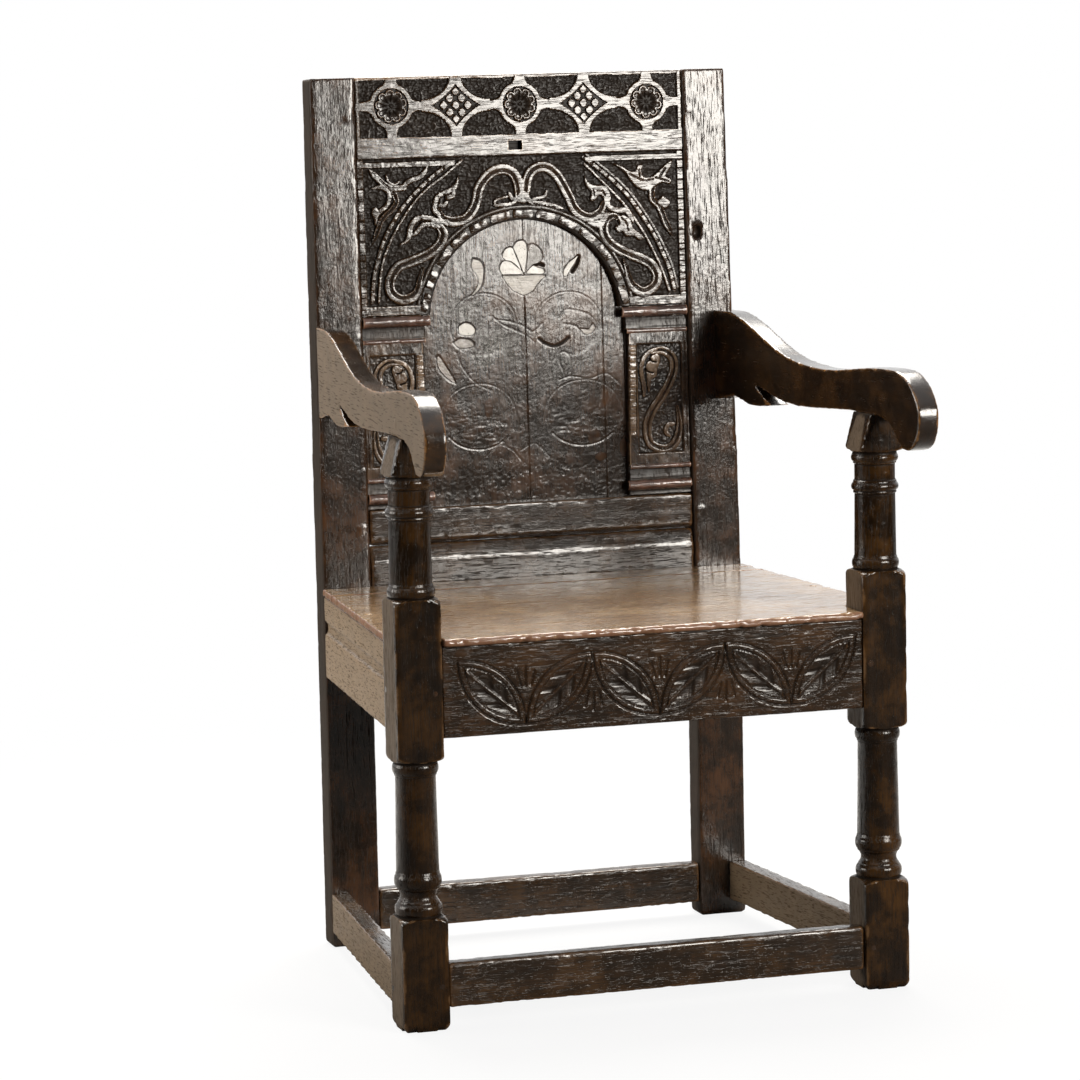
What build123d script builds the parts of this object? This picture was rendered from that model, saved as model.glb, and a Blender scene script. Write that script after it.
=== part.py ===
from build123d import *
import os
from math import atan2, cos, degrees, hypot, sin, sqrt, tan

# Joined oak armchair with a panelled back. Millimetres, +Z up, front towards -Y.
# It is laid out with the front posts' front faces at y = 0 and the floor at z = 0,
# and every node is then moved back so that the whole chair is centred on the origin.

# ---- driving dimensions: the frame ----------------------------------------------------
seat_height = 440.0          # floor to seat top
front_width = 604.0          # over the outer faces of the front posts
back_width = 533.0           # over the outer faces of the rear posts, at the seat
frame_depth = 450.0          # front posts' front face to rear posts' front face
overall_height = 1048.0      # floor to the top of the back
back_rake = 23.0             # how far the top of the back leans behind the seat line

front_post_size = 54.0       # square blocks of the turned front posts
rear_post_width = 60.5
rear_post_thickness = 39.0
rear_post_top_taper = 5.0    # the outer edge of each stile comes in by this much at the top
foot_chamfer = 3.5

# ---- driving dimensions: joinery ------------------------------------------------------
tenon_thickness = 10.0
rail_tenon_length = 32.0     # rails that run across the chair
side_tenon_length = 26.0     # rails that run from front to back
tenon_shoulder = 10.0        # tenon stands in from the rail's top and bottom edges
joint_clearance = 0.2        # around the cheeks and edges of every tenon and board
tenon_end_gap = 1.0
peg_diameter = 8.0
peg_clearance = 0.1
peg_proud = 0.8
peg_setback = 9.5            # shoulder line to peg centre
peg_length = 36.0
arm_peg_length = 20.0
seat_peg_length = 30.0
seat_peg_diameter = 7.0
seat_peg_count = 3           # along each side of the wide seat board

# ---- driving dimensions: rails under the seat -----------------------------------------
seat_thickness = 9.5
seat_front_overhang = 7.0
seat_side_overhang = 2.0
seat_rear_board = 63.0
seat_edge_round = 3.0
front_rail_height = 102.0
side_rail_height = 98.5
side_rail_upper_fascia = 30.0
side_rail_bevel = 14.0
side_rail_bevel_depth = 4.0
front_rail_thickness = 26.0
side_rail_thickness = 24.0
rail_setback = 2.0
rear_rail_below_seat = 90.0
rear_rail_above_seat = 47.0
rear_rail_thickness = 26.0
rear_rail_bevel_height = 19.0
rear_rail_bevel_depth = 7.0
stretcher_thickness = 23.0
stretcher_height = 51.0
side_stretcher_height = 48.5
front_stretcher_bottom = 24.0
side_stretcher_bottom = 19.0
rear_stretcher_bottom = 17.0
front_stretcher_setback = 4.0
stretcher_edge_round = 4.0

# ---- driving dimensions: back frame (depths are behind the stiles' front face) --------
crest_height = 98.5
crest_thickness = 28.0
crest_setback = 3.0
mid_rail_height = 44.0
mid_rail_thickness = 28.0
mid_rail_setback = 2.0
mid_rail_rebate_height = 3.5
panel_thickness = 9.0
panel_setback = 17.0
groove_depth = 9.0
panel_joint_left = 2.0       # the two upright joints of the three panel boards
panel_joint_right = 100.5
arch_setback = 4.0
arch_board_height = 187.5
arch_lip = 6.0               # how far the arch stands inside the pilasters
arch_spring_drop = 11.0      # arch centre below the lower edge of the arch board
pilaster_setback = 6.0
pilaster_width = 79.0
hook_hole_width = 17.0       # old rectangular pocket in the crest's plain band
hook_hole_height = 11.0
hook_hole_depth = 9.0
hook_hole_rise = 7.0
hook_hole_offset = -7.5
stile_hole_width = 8.0       # small old pocket in the right-hand stile
stile_hole_height = 17.0
stile_hole_below_top = 198.5
stile_hole_inset = 14.5

# ---- driving dimensions: applied mouldings of the pilasters ---------------------------
capital_height = 14.0
capital_projection = 7.0
capital_overhang = 6.0
capital_necking_drop = 27.0  # pilaster top to the necking's upper edge
necking_height = 7.0
necking_projection = 3.0
base_necking_rise = 31.0     # pilaster foot to the base necking's lower edge
base_rise = 6.0
base_height = 13.0
base_projection = 7.0
base_overhang = 4.0

# ---- driving dimensions: floral inlay of the centre panel -----------------------------
inlay_depth = 2.0
inlay_clearance = 0.1
flower_rise = 288.0          # panel opening foot to the flower's centre
flower_cup_radius = 13.0
petal_radius = 10.5
petal_ring = 15.0
petal_count = 5
petal_spread = 200.0
leaf_offset = 60.0
leaf_length = 46.0
leaf_width = 15.0
leaf_tilt = 20.0
bud_drop = 78.0
bud_offset = 74.0
bud_radius = 7.0

# ---- driving dimensions: turned front posts -------------------------------------------
foot_block_height = 127.0
mid_block_bottom = 303.0
mid_block_top = 484.0
block_shoulder = 11.0        # how far the turned corners run into a square block
top_block_bottom = 620.0
arm_underside = 662.5
top_block_width = 30.0       # across the chair, where it meets the arm
post_tenon_width = 32.0
post_tenon_height = 30.0

# ---- driving dimensions: arms ---------------------------------------------------------
arm_thickness = 25.5
arm_front_offset = 2.0       # arm's middle outside the front post's middle
arm_rear_inset = 14.5        # arm's middle inside the rear post's outer face
arm_overhang = 116.0         # tip of the scroll in front of the front posts
arm_tenon_height = 60.0
arm_tenon_rise = 12.0

# Each arm's outline is read from the side. Points near the scroll are (distance behind the
# posts' front face, height over the arm's underside at the post). Points near the back are
# (distance in front of the rear post, the same height).
arm_back_top = [(0.0, 91.0), (25.0, 91.5), (75.0, 84.0), (135.0, 66.5), (195.0, 50.5), (260.0, 43.0)]
arm_front_top = [(110.0, 43.5), (10.0, 53.0), (-30.0, 54.5), (-84.0, 46.5), (-112.5, 20.0)]
arm_nose = [(-arm_overhang, 5.5)]
arm_scroll_front = [(-113.5, -10.5), (-96.0, -29.5), (-83.0, -33.0), (-68.0, -32.0)]
arm_scroll_back = [(-48.0, -13.5), (-20.0, -1.5)]
arm_under_front = [(95.0, -1.5), (205.0, -7.0)]
arm_under_notch = [(170.0, -2.5), (140.0, 3.5), (105.0, 10.5)]
arm_spur_top = [(132.0, -3.5), (160.0, -13.0)]
arm_spur_under = [(120.0, -17.0), (90.0, -17.0), (45.0, -10.5), (0.0, -17.5)]
arm_flat_margin = 2.0        # flat landing on each side of the front post

# Turned outlines are (distance from the block, depth below the block's faces). Base lists
# run up from the block below and head lists run down from the block above.
lower_base = [(0.0, 2.0), (4.0, 0.5), (13.0, 0.5), (17.0, 3.5), (24.0, 6.5), (32.0, 6.5),
              (35.0, 2.5), (39.0, 0.5), (47.0, 0.5), (51.0, 2.5), (54.0, 2.8)]
lower_head = [(0.0, 2.0), (4.0, 1.2), (13.0, 1.2), (16.0, 3.5), (19.0, 4.4)]
upper_base = [(0.0, 2.0), (3.0, 0.2), (12.0, 0.2), (16.0, 2.6), (19.0, 3.0)]
upper_head = [(0.0, 2.0), (2.0, 0.2), (8.0, 0.2), (11.0, 1.5), (14.0, 3.8), (25.0, 3.8),
              (31.0, 2.5), (35.0, 0.0), (42.0, 0.0), (45.0, 2.0), (48.0, 3.8)]

# ---- derived --------------------------------------------------------------------------
half_front = front_width / 2
half_back = back_width / 2
post_centre = half_front - front_post_size / 2
front_inner = half_front - front_post_size
rear_inner = half_back - rear_post_width
seat_underside = seat_height - seat_thickness
rail_top = seat_underside
rise = overall_height - seat_height
rake = atan2(back_rake, rise)
stile_length = hypot(rise, back_rake)
plan_slope = (half_front - half_back) / frame_depth
side_rail_inset = side_rail_thickness / 2
stretcher_inset = stretcher_thickness / 2
arm_front_centre = post_centre + arm_front_offset
arm_rear_centre = half_back - arm_rear_inset
arm_slope = (arm_front_centre - arm_rear_centre) / frame_depth
crest_bottom = stile_length - crest_height
mid_rail_bottom = rear_rail_above_seat
mid_rail_top = mid_rail_bottom + mid_rail_height
arch_bottom = crest_bottom - arch_board_height
pilaster_inner = rear_inner - pilaster_width
arch_radius = pilaster_inner - arch_lip
flower_height = mid_rail_top + flower_rise
rear_post_back = frame_depth + rear_post_thickness
back_reach = stile_length * sin(rake) + rear_post_thickness * cos(rake)
centre_y = (frame_depth + back_reach - arm_overhang) / 2

nodes = {}


# ---- helpers --------------------------------------------------------------------------
def block(x, y, z):
    """A box between pairs of limits, each given as (low, high)."""
    size = Box(x[1] - x[0], y[1] - y[0], z[1] - z[0])
    return Pos((x[0] + x[1]) / 2, (y[0] + y[1]) / 2, (z[0] + z[1]) / 2) * size


def plan_prism(points, z_low, z_high):
    """A plan outline of (x, y) points raised between two heights."""
    face = Plane.XY.offset(z_low) * Polygon(*points, align=None)
    return extrude(face, z_high - z_low, dir=(0, 0, 1))


def side_prism(points, x_low, x_high):
    """A side outline of (y, z) points drawn out between two widths."""
    face = Plane.YZ.offset(x_low) * Polygon(*points, align=None)
    return extrude(face, x_high - x_low, dir=(1, 0, 0))


def front_prism(face, y_front, y_back):
    """A face drawn in the XZ plane, thickened from y_front to y_back."""
    return extrude(Plane.XZ.offset(-y_front) * face, y_back - y_front, dir=(0, 1, 0))


def mirrored(shape):
    """The same piece for the other side of the chair."""
    return mirror(shape, about=Plane.YZ)


def in_back(shape):
    """Places a shape drawn in the back's own frame: x across, y behind the stiles' front
    face, z up along the stiles from the seat top."""
    return Location((0, frame_depth, seat_height), (-degrees(rake), 0, 0)) * shape


def outer_line(y, inset=0.0):
    """Half width of the frame's outer face at a depth y, less an inset."""
    return half_front - plan_slope * y - inset


def arm_line(y):
    """Half width of an arm's middle plane at a depth y."""
    return arm_front_centre - arm_slope * y


def raked_y(z):
    """Depth of the stiles' front face at a height z above the seat."""
    return frame_depth + (z - seat_height) * tan(rake)


def peg(x, y, z, direction, length=peg_length, extra=0.0):
    """A drawbore peg whose head stands a little proud of the face at (x, y, z); extra
    grows it into its hole."""
    start = Vector(x, y, z) - Vector(*direction) * peg_proud
    face = Plane(origin=start, z_dir=direction)
    return extrude(face * Circle(peg_diameter / 2 + extra), length + peg_proud + extra)


def peg_hole(x, y, z, direction, length=peg_length):
    """The hole for such a peg."""
    return peg(x, y, z, direction, length, peg_clearance)


# ---- tenons and their mortises --------------------------------------------------------
def cross_tenon(x_shoulder, y_front, thickness, z_low, z_high, extra=0.0):
    """A tenon that runs outwards in +X from a shoulder; extra grows it into its mortise."""
    middle = y_front + thickness / 2
    end = x_shoulder + rail_tenon_length + (tenon_end_gap if extra else 0.0)
    return block((x_shoulder, end),
                 (middle - tenon_thickness / 2 - extra, middle + tenon_thickness / 2 + extra),
                 (z_low + tenon_shoulder - extra, z_high - tenon_shoulder + extra))


def long_tenon(y_shoulder, direction, inset, z_low, z_high, extra=0.0):
    """A tenon of a side rail, along the rail, from the shoulder at y_shoulder."""
    y_end = y_shoulder + direction * (side_tenon_length + (tenon_end_gap if extra else 0.0))
    half = tenon_thickness / 2 + extra
    near = outer_line(y_shoulder, inset)
    far = outer_line(y_end, inset)
    points = [(near - half, y_shoulder), (near + half, y_shoulder),
              (far + half, y_end), (far - half, y_end)]
    return plan_prism(points, z_low + tenon_shoulder - extra, z_high - tenon_shoulder + extra)


def crest_tenon(extra=0.0):
    """The crest rail's tenon, clear of the panel's groove."""
    return cross_tenon(rear_inner, crest_setback, crest_thickness,
                       crest_bottom + groove_depth, stile_length, extra)


def mid_rail_tenon(extra=0.0):
    """The middle back rail's tenon, which ends at the foot of the panel's groove."""
    return cross_tenon(rear_inner, mid_rail_setback, mid_rail_thickness, mid_rail_bottom,
                       mid_rail_top - groove_depth + tenon_shoulder, extra)


def arm_tenon(extra=0.0):
    """The arm's tenon into the rear post."""
    y_start = frame_depth - rear_post_thickness
    y_end = frame_depth + side_tenon_length + (tenon_end_gap if extra else 0.0)
    half = tenon_thickness / 2 + extra
    points = [(arm_line(y_start) - half, y_start), (arm_line(y_start) + half, y_start),
              (arm_line(y_end) + half, y_end), (arm_line(y_end) - half, y_end)]
    low = arm_underside + arm_tenon_rise
    return plan_prism(points, low - extra, low + arm_tenon_height + extra)


def post_tenon(extra=0.0):
    """The front post's tenon up into the arm."""
    middle = front_post_size / 2
    half_x = tenon_thickness / 2 + extra
    half_y = post_tenon_width / 2 + extra
    top = arm_underside + post_tenon_height + (tenon_end_gap if extra else 0.0)
    return block((arm_line(middle) - half_x, arm_line(middle) + half_x),
                 (middle - half_y, middle + half_y), (arm_underside - extra, top))


# ---- where the pegs go ----------------------------------------------------------------
front_rail_middle = rail_top - front_rail_height / 2
side_rail_middle = rail_top - side_rail_height / 2
front_stretcher_middle = front_stretcher_bottom + stretcher_height / 2
side_stretcher_middle = side_stretcher_bottom + side_stretcher_height / 2
rear_stretcher_middle = rear_stretcher_bottom + stretcher_height / 2
rear_rail_peg_height = seat_height - rear_rail_below_seat / 2
peg_x_front = front_inner + peg_setback
peg_x_rear = rear_inner + peg_setback
peg_y_front = front_post_size - peg_setback
peg_y_rear = frame_depth + peg_setback
crest_peg_height = stile_length - crest_height / 2
mid_rail_peg_height = mid_rail_bottom + mid_rail_height / 2

front_post_pegs = [
    (peg_x_front, 0.0, front_rail_middle, (0, 1, 0)),
    (peg_x_front, 0.0, front_stretcher_middle, (0, 1, 0)),
    (half_front, peg_y_front, side_rail_middle, (-1, 0, 0)),
    (half_front, peg_y_front, side_stretcher_middle, (-1, 0, 0)),
]
rear_post_pegs = [
    (peg_x_rear, frame_depth, rear_stretcher_middle, (0, 1, 0)),
    (peg_x_rear, frame_depth, rear_rail_peg_height, (0, 1, 0)),
    (half_back, peg_y_rear, side_rail_middle, (-1, 0, 0)),
    (half_back, peg_y_rear, side_stretcher_middle, (-1, 0, 0)),
]
stile_pegs = [
    (peg_x_rear, 0.0, crest_peg_height, (0, 1, 0)),
    (peg_x_rear, 0.0, mid_rail_peg_height, (0, 1, 0)),
]
arm_peg_height = arm_underside + arm_tenon_rise + arm_tenon_height / 2
arm_peg_depth = raked_y(arm_peg_height) + peg_setback


def frame_pegs(make):
    """Every peg, or every peg hole, of the posts on the +X side."""
    shapes = [make(*place) for place in front_post_pegs + rear_post_pegs]
    shapes += [in_back(make(*place)) for place in stile_pegs]
    return shapes


def arm_pegs(make):
    """The pegs that lock the +X arm to its two posts, driven from outside."""
    landing = arm_underside + post_tenon_height / 2
    side = arm_line(front_post_size / 2) + arm_thickness / 2
    outer_edge = half_back - rear_post_top_taper * (arm_peg_height - seat_height) / rise
    return [make(side, front_post_size / 2, landing, (-1, 0, 0), arm_peg_length),
            make(outer_edge, arm_peg_depth, arm_peg_height, (-1, 0, 0))]


# ---- posts ----------------------------------------------------------------------------
def turned_corners(z_low, z_high, round_low, round_high):
    """The turned shape that takes away a square block's corners at its rounded ends."""
    radius = front_post_size / sqrt(2)
    body = Pos(0, 0, (z_low + z_high) / 2) * Cylinder(radius, z_high - z_low)
    rims = body.edges().filter_by(GeomType.CIRCLE).sort_by(Axis.Z)
    rounded = (rims[:1] if round_low else []) + (rims[-1:] if round_high else [])
    return fillet(rounded, block_shoulder)


def square_block(z_low, z_high, round_low, round_high):
    """A square block of the post, with its ends rounded where they meet the turning."""
    half = front_post_size / 2
    body = block((-half, half), (-half, half), (z_low, z_high))
    return body & turned_corners(z_low, z_high, round_low, round_high)


def turning(base, head, z_low, z_high):
    """A turned length between two blocks, from its base rings and its head rings."""
    half = front_post_size / 2
    outline = [(0, z_low)]
    outline += [(half - depth, z_low + away) for away, depth in base]
    outline += [(half - depth, z_high - away) for away, depth in reversed(head)]
    outline += [(0, z_high)]
    return revolve(Plane.XZ * Polygon(*outline, align=None), Axis.Z)


def top_block():
    """The block under the arm, tapered across the chair down to the arm's width."""
    lower = Plane.XY.offset(top_block_bottom) * Rectangle(front_post_size, front_post_size)
    upper = Plane.XY.offset(arm_underside) * Rectangle(top_block_width, front_post_size)
    return loft([lower, upper]) & turned_corners(top_block_bottom, arm_underside, True, False)


def front_post():
    """The turned front post on the +X side, with its tenon and mortises."""
    half = front_post_size / 2
    foot = square_block(0, foot_block_height, False, True)
    foot = chamfer(foot.faces().sort_by(Axis.Z)[0].edges(), foot_chamfer)
    body = foot + turning(lower_base, lower_head, foot_block_height, mid_block_bottom)
    body += square_block(mid_block_bottom, mid_block_top, True, True)
    body += turning(upper_base, upper_head, mid_block_top, top_block_bottom)
    body += top_block()
    body = Pos(post_centre, half, 0) * body
    body += post_tenon()
    gap = joint_clearance
    body -= cross_tenon(front_inner, rail_setback, front_rail_thickness,
                        rail_top - front_rail_height, rail_top, gap)
    body -= cross_tenon(front_inner, front_stretcher_setback, stretcher_thickness,
                        front_stretcher_bottom, front_stretcher_bottom + stretcher_height, gap)
    body -= long_tenon(front_post_size, -1, side_rail_inset, rail_top - side_rail_height, rail_top, gap)
    body -= long_tenon(front_post_size, -1, stretcher_inset, side_stretcher_bottom,
                       side_stretcher_bottom + side_stretcher_height, gap)
    return body


def rear_post():
    """The raked rear post on the +X side: leg below the seat and stile above it."""
    bend_drop = rear_post_thickness * tan(rake / 2)
    top_front = (frame_depth + back_rake, overall_height)
    top_back = (frame_depth + back_reach, overall_height - rear_post_thickness * sin(rake))
    outline = [(frame_depth, 0), (frame_depth, seat_height), top_front, top_back,
               (rear_post_back, seat_height - bend_drop), (rear_post_back, 0)]
    body = side_prism(outline, rear_inner, half_back)
    body = chamfer(body.faces().sort_by(Axis.Z)[0].edges(), foot_chamfer)
    waste = Polygon((half_back, seat_height), (half_back - rear_post_top_taper, overall_height),
                    (half_front, overall_height), (half_front, seat_height), align=None)
    body -= front_prism(waste, 0, frame_depth + back_reach)
    gap = joint_clearance
    body -= cross_tenon(rear_inner, frame_depth + rail_setback, rear_rail_thickness,
                        seat_height - rear_rail_below_seat, seat_height + rear_rail_above_seat, gap)
    body -= cross_tenon(rear_inner, frame_depth + rail_setback, stretcher_thickness,
                        rear_stretcher_bottom, rear_stretcher_bottom + stretcher_height, gap)
    body -= long_tenon(frame_depth, 1, side_rail_inset, rail_top - side_rail_height, rail_top, gap)
    body -= long_tenon(frame_depth, 1, stretcher_inset, side_stretcher_bottom,
                       side_stretcher_bottom + side_stretcher_height, gap)
    body -= arm_tenon(gap)
    body -= in_back(crest_tenon(gap))
    body -= in_back(mid_rail_tenon(gap))
    body -= in_back(block((rear_inner, rear_inner + groove_depth), panel_groove(),
                          (mid_rail_top - groove_depth, crest_bottom + groove_depth)))
    return body


def panel_groove():
    """Front and back of the groove that holds the panel boards."""
    return (panel_setback - joint_clearance, panel_setback + panel_thickness + joint_clearance)


def stile_pocket():
    """The small old pocket in the right-hand stile."""
    x = rear_inner + stile_hole_inset
    z = stile_length - stile_hole_below_top
    return in_back(block((x - stile_hole_width / 2, x + stile_hole_width / 2), (0, hook_hole_depth),
                         (z - stile_hole_height / 2, z + stile_hole_height / 2)))


# ---- rails across the chair -----------------------------------------------------------
def both_ends(tenon):
    """A tenon for the +X end and its mirror image."""
    return tenon + mirrored(tenon)


def front_seat_rail():
    """The carved rail below the seat, between the front posts."""
    low = rail_top - front_rail_height
    depth = (rail_setback, rail_setback + front_rail_thickness)
    body = block((-front_inner, front_inner), depth, (low, rail_top))
    return body + both_ends(cross_tenon(front_inner, rail_setback, front_rail_thickness, low, rail_top))


def rear_seat_rail():
    """The deep rear rail, which stands above the seat and is bevelled on its upper front edge."""
    y = frame_depth + rail_setback
    low = seat_height - rear_rail_below_seat
    high = seat_height + rear_rail_above_seat
    outline = [(y, low), (y, high - rear_rail_bevel_height), (y + rear_rail_bevel_depth, high),
               (y + rear_rail_thickness, high), (y + rear_rail_thickness, low)]
    body = side_prism(outline, -rear_inner, rear_inner)
    return body + both_ends(cross_tenon(rear_inner, y, rear_rail_thickness, low, high))


def cross_stretcher(half_span, y, low):
    """A stretcher between two posts, with worn upper edges."""
    high = low + stretcher_height
    body = block((-half_span, half_span), (y, y + stretcher_thickness), (low, high))
    upper_edges = body.faces().sort_by(Axis.Z)[-1].edges().filter_by(Axis.X)
    body = fillet(upper_edges, stretcher_edge_round)
    return body + both_ends(cross_tenon(half_span, y, stretcher_thickness, low, high))


def crest_rail():
    """The top rail of the back, grooved below for the panel."""
    y = (crest_setback, crest_setback + crest_thickness)
    body = block((-rear_inner, rear_inner), y, (crest_bottom, stile_length))
    body += both_ends(crest_tenon())
    body -= block((-rear_inner, rear_inner), panel_groove(), (crest_bottom, crest_bottom + groove_depth))
    hole_low = crest_bottom + hook_hole_rise
    body -= block((hook_hole_offset - hook_hole_width / 2, hook_hole_offset + hook_hole_width / 2),
                  (crest_setback, crest_setback + hook_hole_depth), (hole_low, hole_low + hook_hole_height))
    return in_back(body)


def mid_back_rail():
    """The rail under the panel. Its foot is cut level to sit on the rear seat rail."""
    y = (mid_rail_setback, mid_rail_setback + mid_rail_thickness)
    body = block((-rear_inner, rear_inner), y, (0, mid_rail_top))
    body -= block((-rear_inner, rear_inner), panel_groove(), (mid_rail_top - groove_depth, mid_rail_top))
    body += both_ends(mid_rail_tenon())
    body = in_back(body)
    foot = seat_height + rear_rail_above_seat
    y_low = frame_depth - rear_post_thickness
    y_high = rear_post_back + back_rake
    body -= block((-half_back, half_back), (y_low, y_high), (0, foot))
    rebate_back = frame_depth + rear_rail_bevel_depth + rail_setback
    body -= block((-rear_inner, rear_inner), (y_low, rebate_back), (foot, foot + mid_rail_rebate_height))
    return body


# ---- rails from front to back ---------------------------------------------------------
def side_band(outer_inset, inner_inset, z_low, z_high):
    """A board between the posts of the +X side, given by two insets from the outer face."""
    points = [(outer_line(front_post_size, outer_inset), front_post_size),
              (outer_line(frame_depth, outer_inset), frame_depth),
              (outer_line(frame_depth, inner_inset), frame_depth),
              (outer_line(front_post_size, inner_inset), front_post_size)]
    return plan_prism(points, z_low, z_high)


def side_seat_rail():
    """The side rail below the seat: a proud upper fascia over a plain lower one."""
    low = rail_top - side_rail_height
    fascia_foot = rail_top - side_rail_upper_fascia
    lower_top = fascia_foot - side_rail_bevel
    body = side_band(0, side_rail_thickness, low, rail_top)
    groove = side_band(-joint_clearance, side_rail_bevel_depth, lower_top, fascia_foot)
    body -= groove
    body += long_tenon(front_post_size, -1, side_rail_inset, low, rail_top)
    return body + long_tenon(frame_depth, 1, side_rail_inset, low, rail_top)


def side_stretcher():
    """The low stretcher between a front post and a rear post."""
    low = side_stretcher_bottom
    high = low + side_stretcher_height
    body = side_band(0, stretcher_thickness, low, high)
    body += long_tenon(front_post_size, -1, stretcher_inset, low, high)
    return body + long_tenon(frame_depth, 1, stretcher_inset, low, high)


# ---- seat -----------------------------------------------------------------------------
def seat_edge(y):
    """Half width of the seat at a depth y."""
    return outer_line(y) + seat_side_overhang


def seat_board_front():
    """The wide seat board, notched round the front posts."""
    y_back = frame_depth - seat_rear_board
    notch_x = front_inner - joint_clearance
    notch_y = front_post_size + joint_clearance
    right = [(notch_x, -seat_front_overhang), (notch_x, notch_y),
             (seat_edge(notch_y), notch_y), (seat_edge(y_back), y_back)]
    left = [(-x, y) for x, y in reversed(right)]
    body = plan_prism(right + left, seat_underside, seat_height)
    nosing = body.edges().filter_by(Axis.X).group_by(Axis.Y)[0]
    return fillet(nosing, seat_edge_round)


def seat_board_rear():
    """The narrow rear seat board, with a tongue that reaches the rear rail."""
    y_front = frame_depth - seat_rear_board
    tongue = rear_inner - joint_clearance
    right = [(seat_edge(y_front), y_front), (seat_edge(frame_depth), frame_depth),
             (tongue, frame_depth), (tongue, frame_depth + rail_setback)]
    left = [(-x, y) for x, y in reversed(right)]
    return plan_prism(right + left, seat_underside, seat_height)


def seat_peg_depths():
    """Depths of the seat pegs: a row on the wide board and one pair on the narrow board."""
    first = front_post_size
    joint = frame_depth - seat_rear_board
    step = (joint - first) / seat_peg_count
    row = [first + step * (index + 0.5) for index in range(seat_peg_count)]
    return row + [joint + seat_rear_board / 2]


def seat_pegs(extra=0.0):
    """Pegs that hold the seat boards down on the side rails, cut flush with the seat."""
    low = seat_height - seat_peg_length - extra
    pegs = []
    for y in seat_peg_depths():
        face = Pos(outer_line(y, side_rail_inset), y, low) * Circle(seat_peg_diameter / 2 + extra)
        shape = extrude(face, seat_height - low, dir=(0, 0, 1))
        pegs += [shape, mirrored(shape)]
    return pegs


# ---- arms -----------------------------------------------------------------------------
def arm_plane():
    """The +X arm's middle plane: local x runs back along the arm from the posts' front
    face, local y is height over the arm's underside."""
    return Plane(origin=(arm_line(0), 0, arm_underside), x_dir=(-arm_slope, 1, 0), z_dir=(1, arm_slope, 0))


def arm_outline():
    """The closed side outline of an arm."""
    rear = frame_depth * sqrt(1 + arm_slope ** 2)
    past = rear + back_rake

    def from_rear(points):
        return [(rear - ahead, up) for ahead, up in points]

    flat_front = (-arm_flat_margin, 0.0)
    flat_back = (front_post_size + arm_flat_margin, 0.0)
    top = Spline([(past, arm_back_top[0][1])] + from_rear(arm_back_top) + arm_front_top + arm_nose,
                 tangents=[(-1, 0), (0, -1)])
    scroll = Spline(arm_nose + arm_scroll_front, tangents=[(0, -1), (1, 0)])
    scroll_back = Spline(arm_scroll_front[-1:] + arm_scroll_back + [flat_front])
    landing = Line(flat_front, flat_back)
    notch = from_rear(arm_under_notch)
    under = Spline([flat_back] + arm_under_front + notch)
    spur_top = Spline([notch[-1]] + from_rear(arm_spur_top))
    spur_under = Spline([spur_top @ 1] + from_rear(arm_spur_under) + [(past, arm_spur_under[-1][1])])
    back = Line(spur_under @ 1, top @ 0)
    return make_face([top, scroll, scroll_back, landing, under, spur_top, spur_under, back])


def arm():
    """The scrolled arm on the +X side, with its tenon and the front post's mortise."""
    body = extrude(arm_plane() * arm_outline(), arm_thickness / 2, both=True)
    body -= in_back(block((0, half_front), (0, rear_post_thickness + back_rake), (0, stile_length)))
    tenon = arm_tenon() & in_back(block((0, half_front), (0, rear_post_thickness), (0, stile_length)))
    body += tenon
    return body - post_tenon(joint_clearance)


# ---- panelled back --------------------------------------------------------------------
def panel_board(x_low, x_high):
    """One upright board of the centre panel."""
    tongue = groove_depth - tenon_end_gap
    return block((x_low, x_high), (panel_setback, panel_setback + panel_thickness),
                 (mid_rail_top - tongue, crest_bottom + tongue))


def flower_face(extra=0.0):
    """The flower: a fan of round petals over a cup."""
    face = Pos(0, flower_height) * Circle(flower_cup_radius + extra)
    for index in range(petal_count):
        turn = 90 - petal_spread / 2 + petal_spread * index / (petal_count - 1)
        centre = Rot(0, 0, turn) * Pos(petal_ring, 0)
        face += Pos(0, flower_height) * centre * Circle(petal_radius + extra)
    return face


def leaf_face(side, extra=0.0):
    """A pointed leaf, the overlap of two circles."""
    half_length = leaf_length / 2 + extra
    half_width = leaf_width / 2 + extra
    radius = (half_length ** 2 + half_width ** 2) / (2 * half_width)
    shift = radius - half_width
    leaf = (Pos(shift, 0) * Circle(radius)) & (Pos(-shift, 0) * Circle(radius))
    return Pos(side * leaf_offset, flower_height) * Rot(0, 0, -side * leaf_tilt) * leaf


def bud_face(side, extra=0.0):
    """A small round bud beside the lower stem."""
    return Pos(side * bud_offset, flower_height - bud_drop) * Circle(bud_radius + extra)


def inlay(face):
    """A thin inlay, flush with the panel's face, or the pocket cut for it."""
    return front_prism(face, panel_setback, panel_setback + inlay_depth)


def all_pockets():
    """Pockets for every inlay of the panel."""
    faces = [flower_face(inlay_clearance)]
    faces += [leaf_face(side, inlay_clearance) for side in (-1, 1)]
    faces += [bud_face(side, inlay_clearance) for side in (-1, 1)]
    return [inlay(face) for face in faces]


def arch_board():
    """The carved board over the panel, cut to a round arch."""
    width = 2 * (rear_inner - joint_clearance)
    face = Pos(0, arch_bottom + arch_board_height / 2) * Rectangle(width, arch_board_height)
    face -= Pos(0, arch_bottom - arch_spring_drop) * Circle(arch_radius)
    return in_back(front_prism(face, arch_setback, panel_setback))


def pilaster_limits(overhang=0.0):
    """Inner and outer edge of the +X pilaster, or of a moulding that overhangs it."""
    return (pilaster_inner - overhang, rear_inner - joint_clearance)


def pilaster():
    """The carved upright board beside the centre panel."""
    return in_back(block(pilaster_limits(), (pilaster_setback, panel_setback), (mid_rail_top, arch_bottom)))


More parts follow.
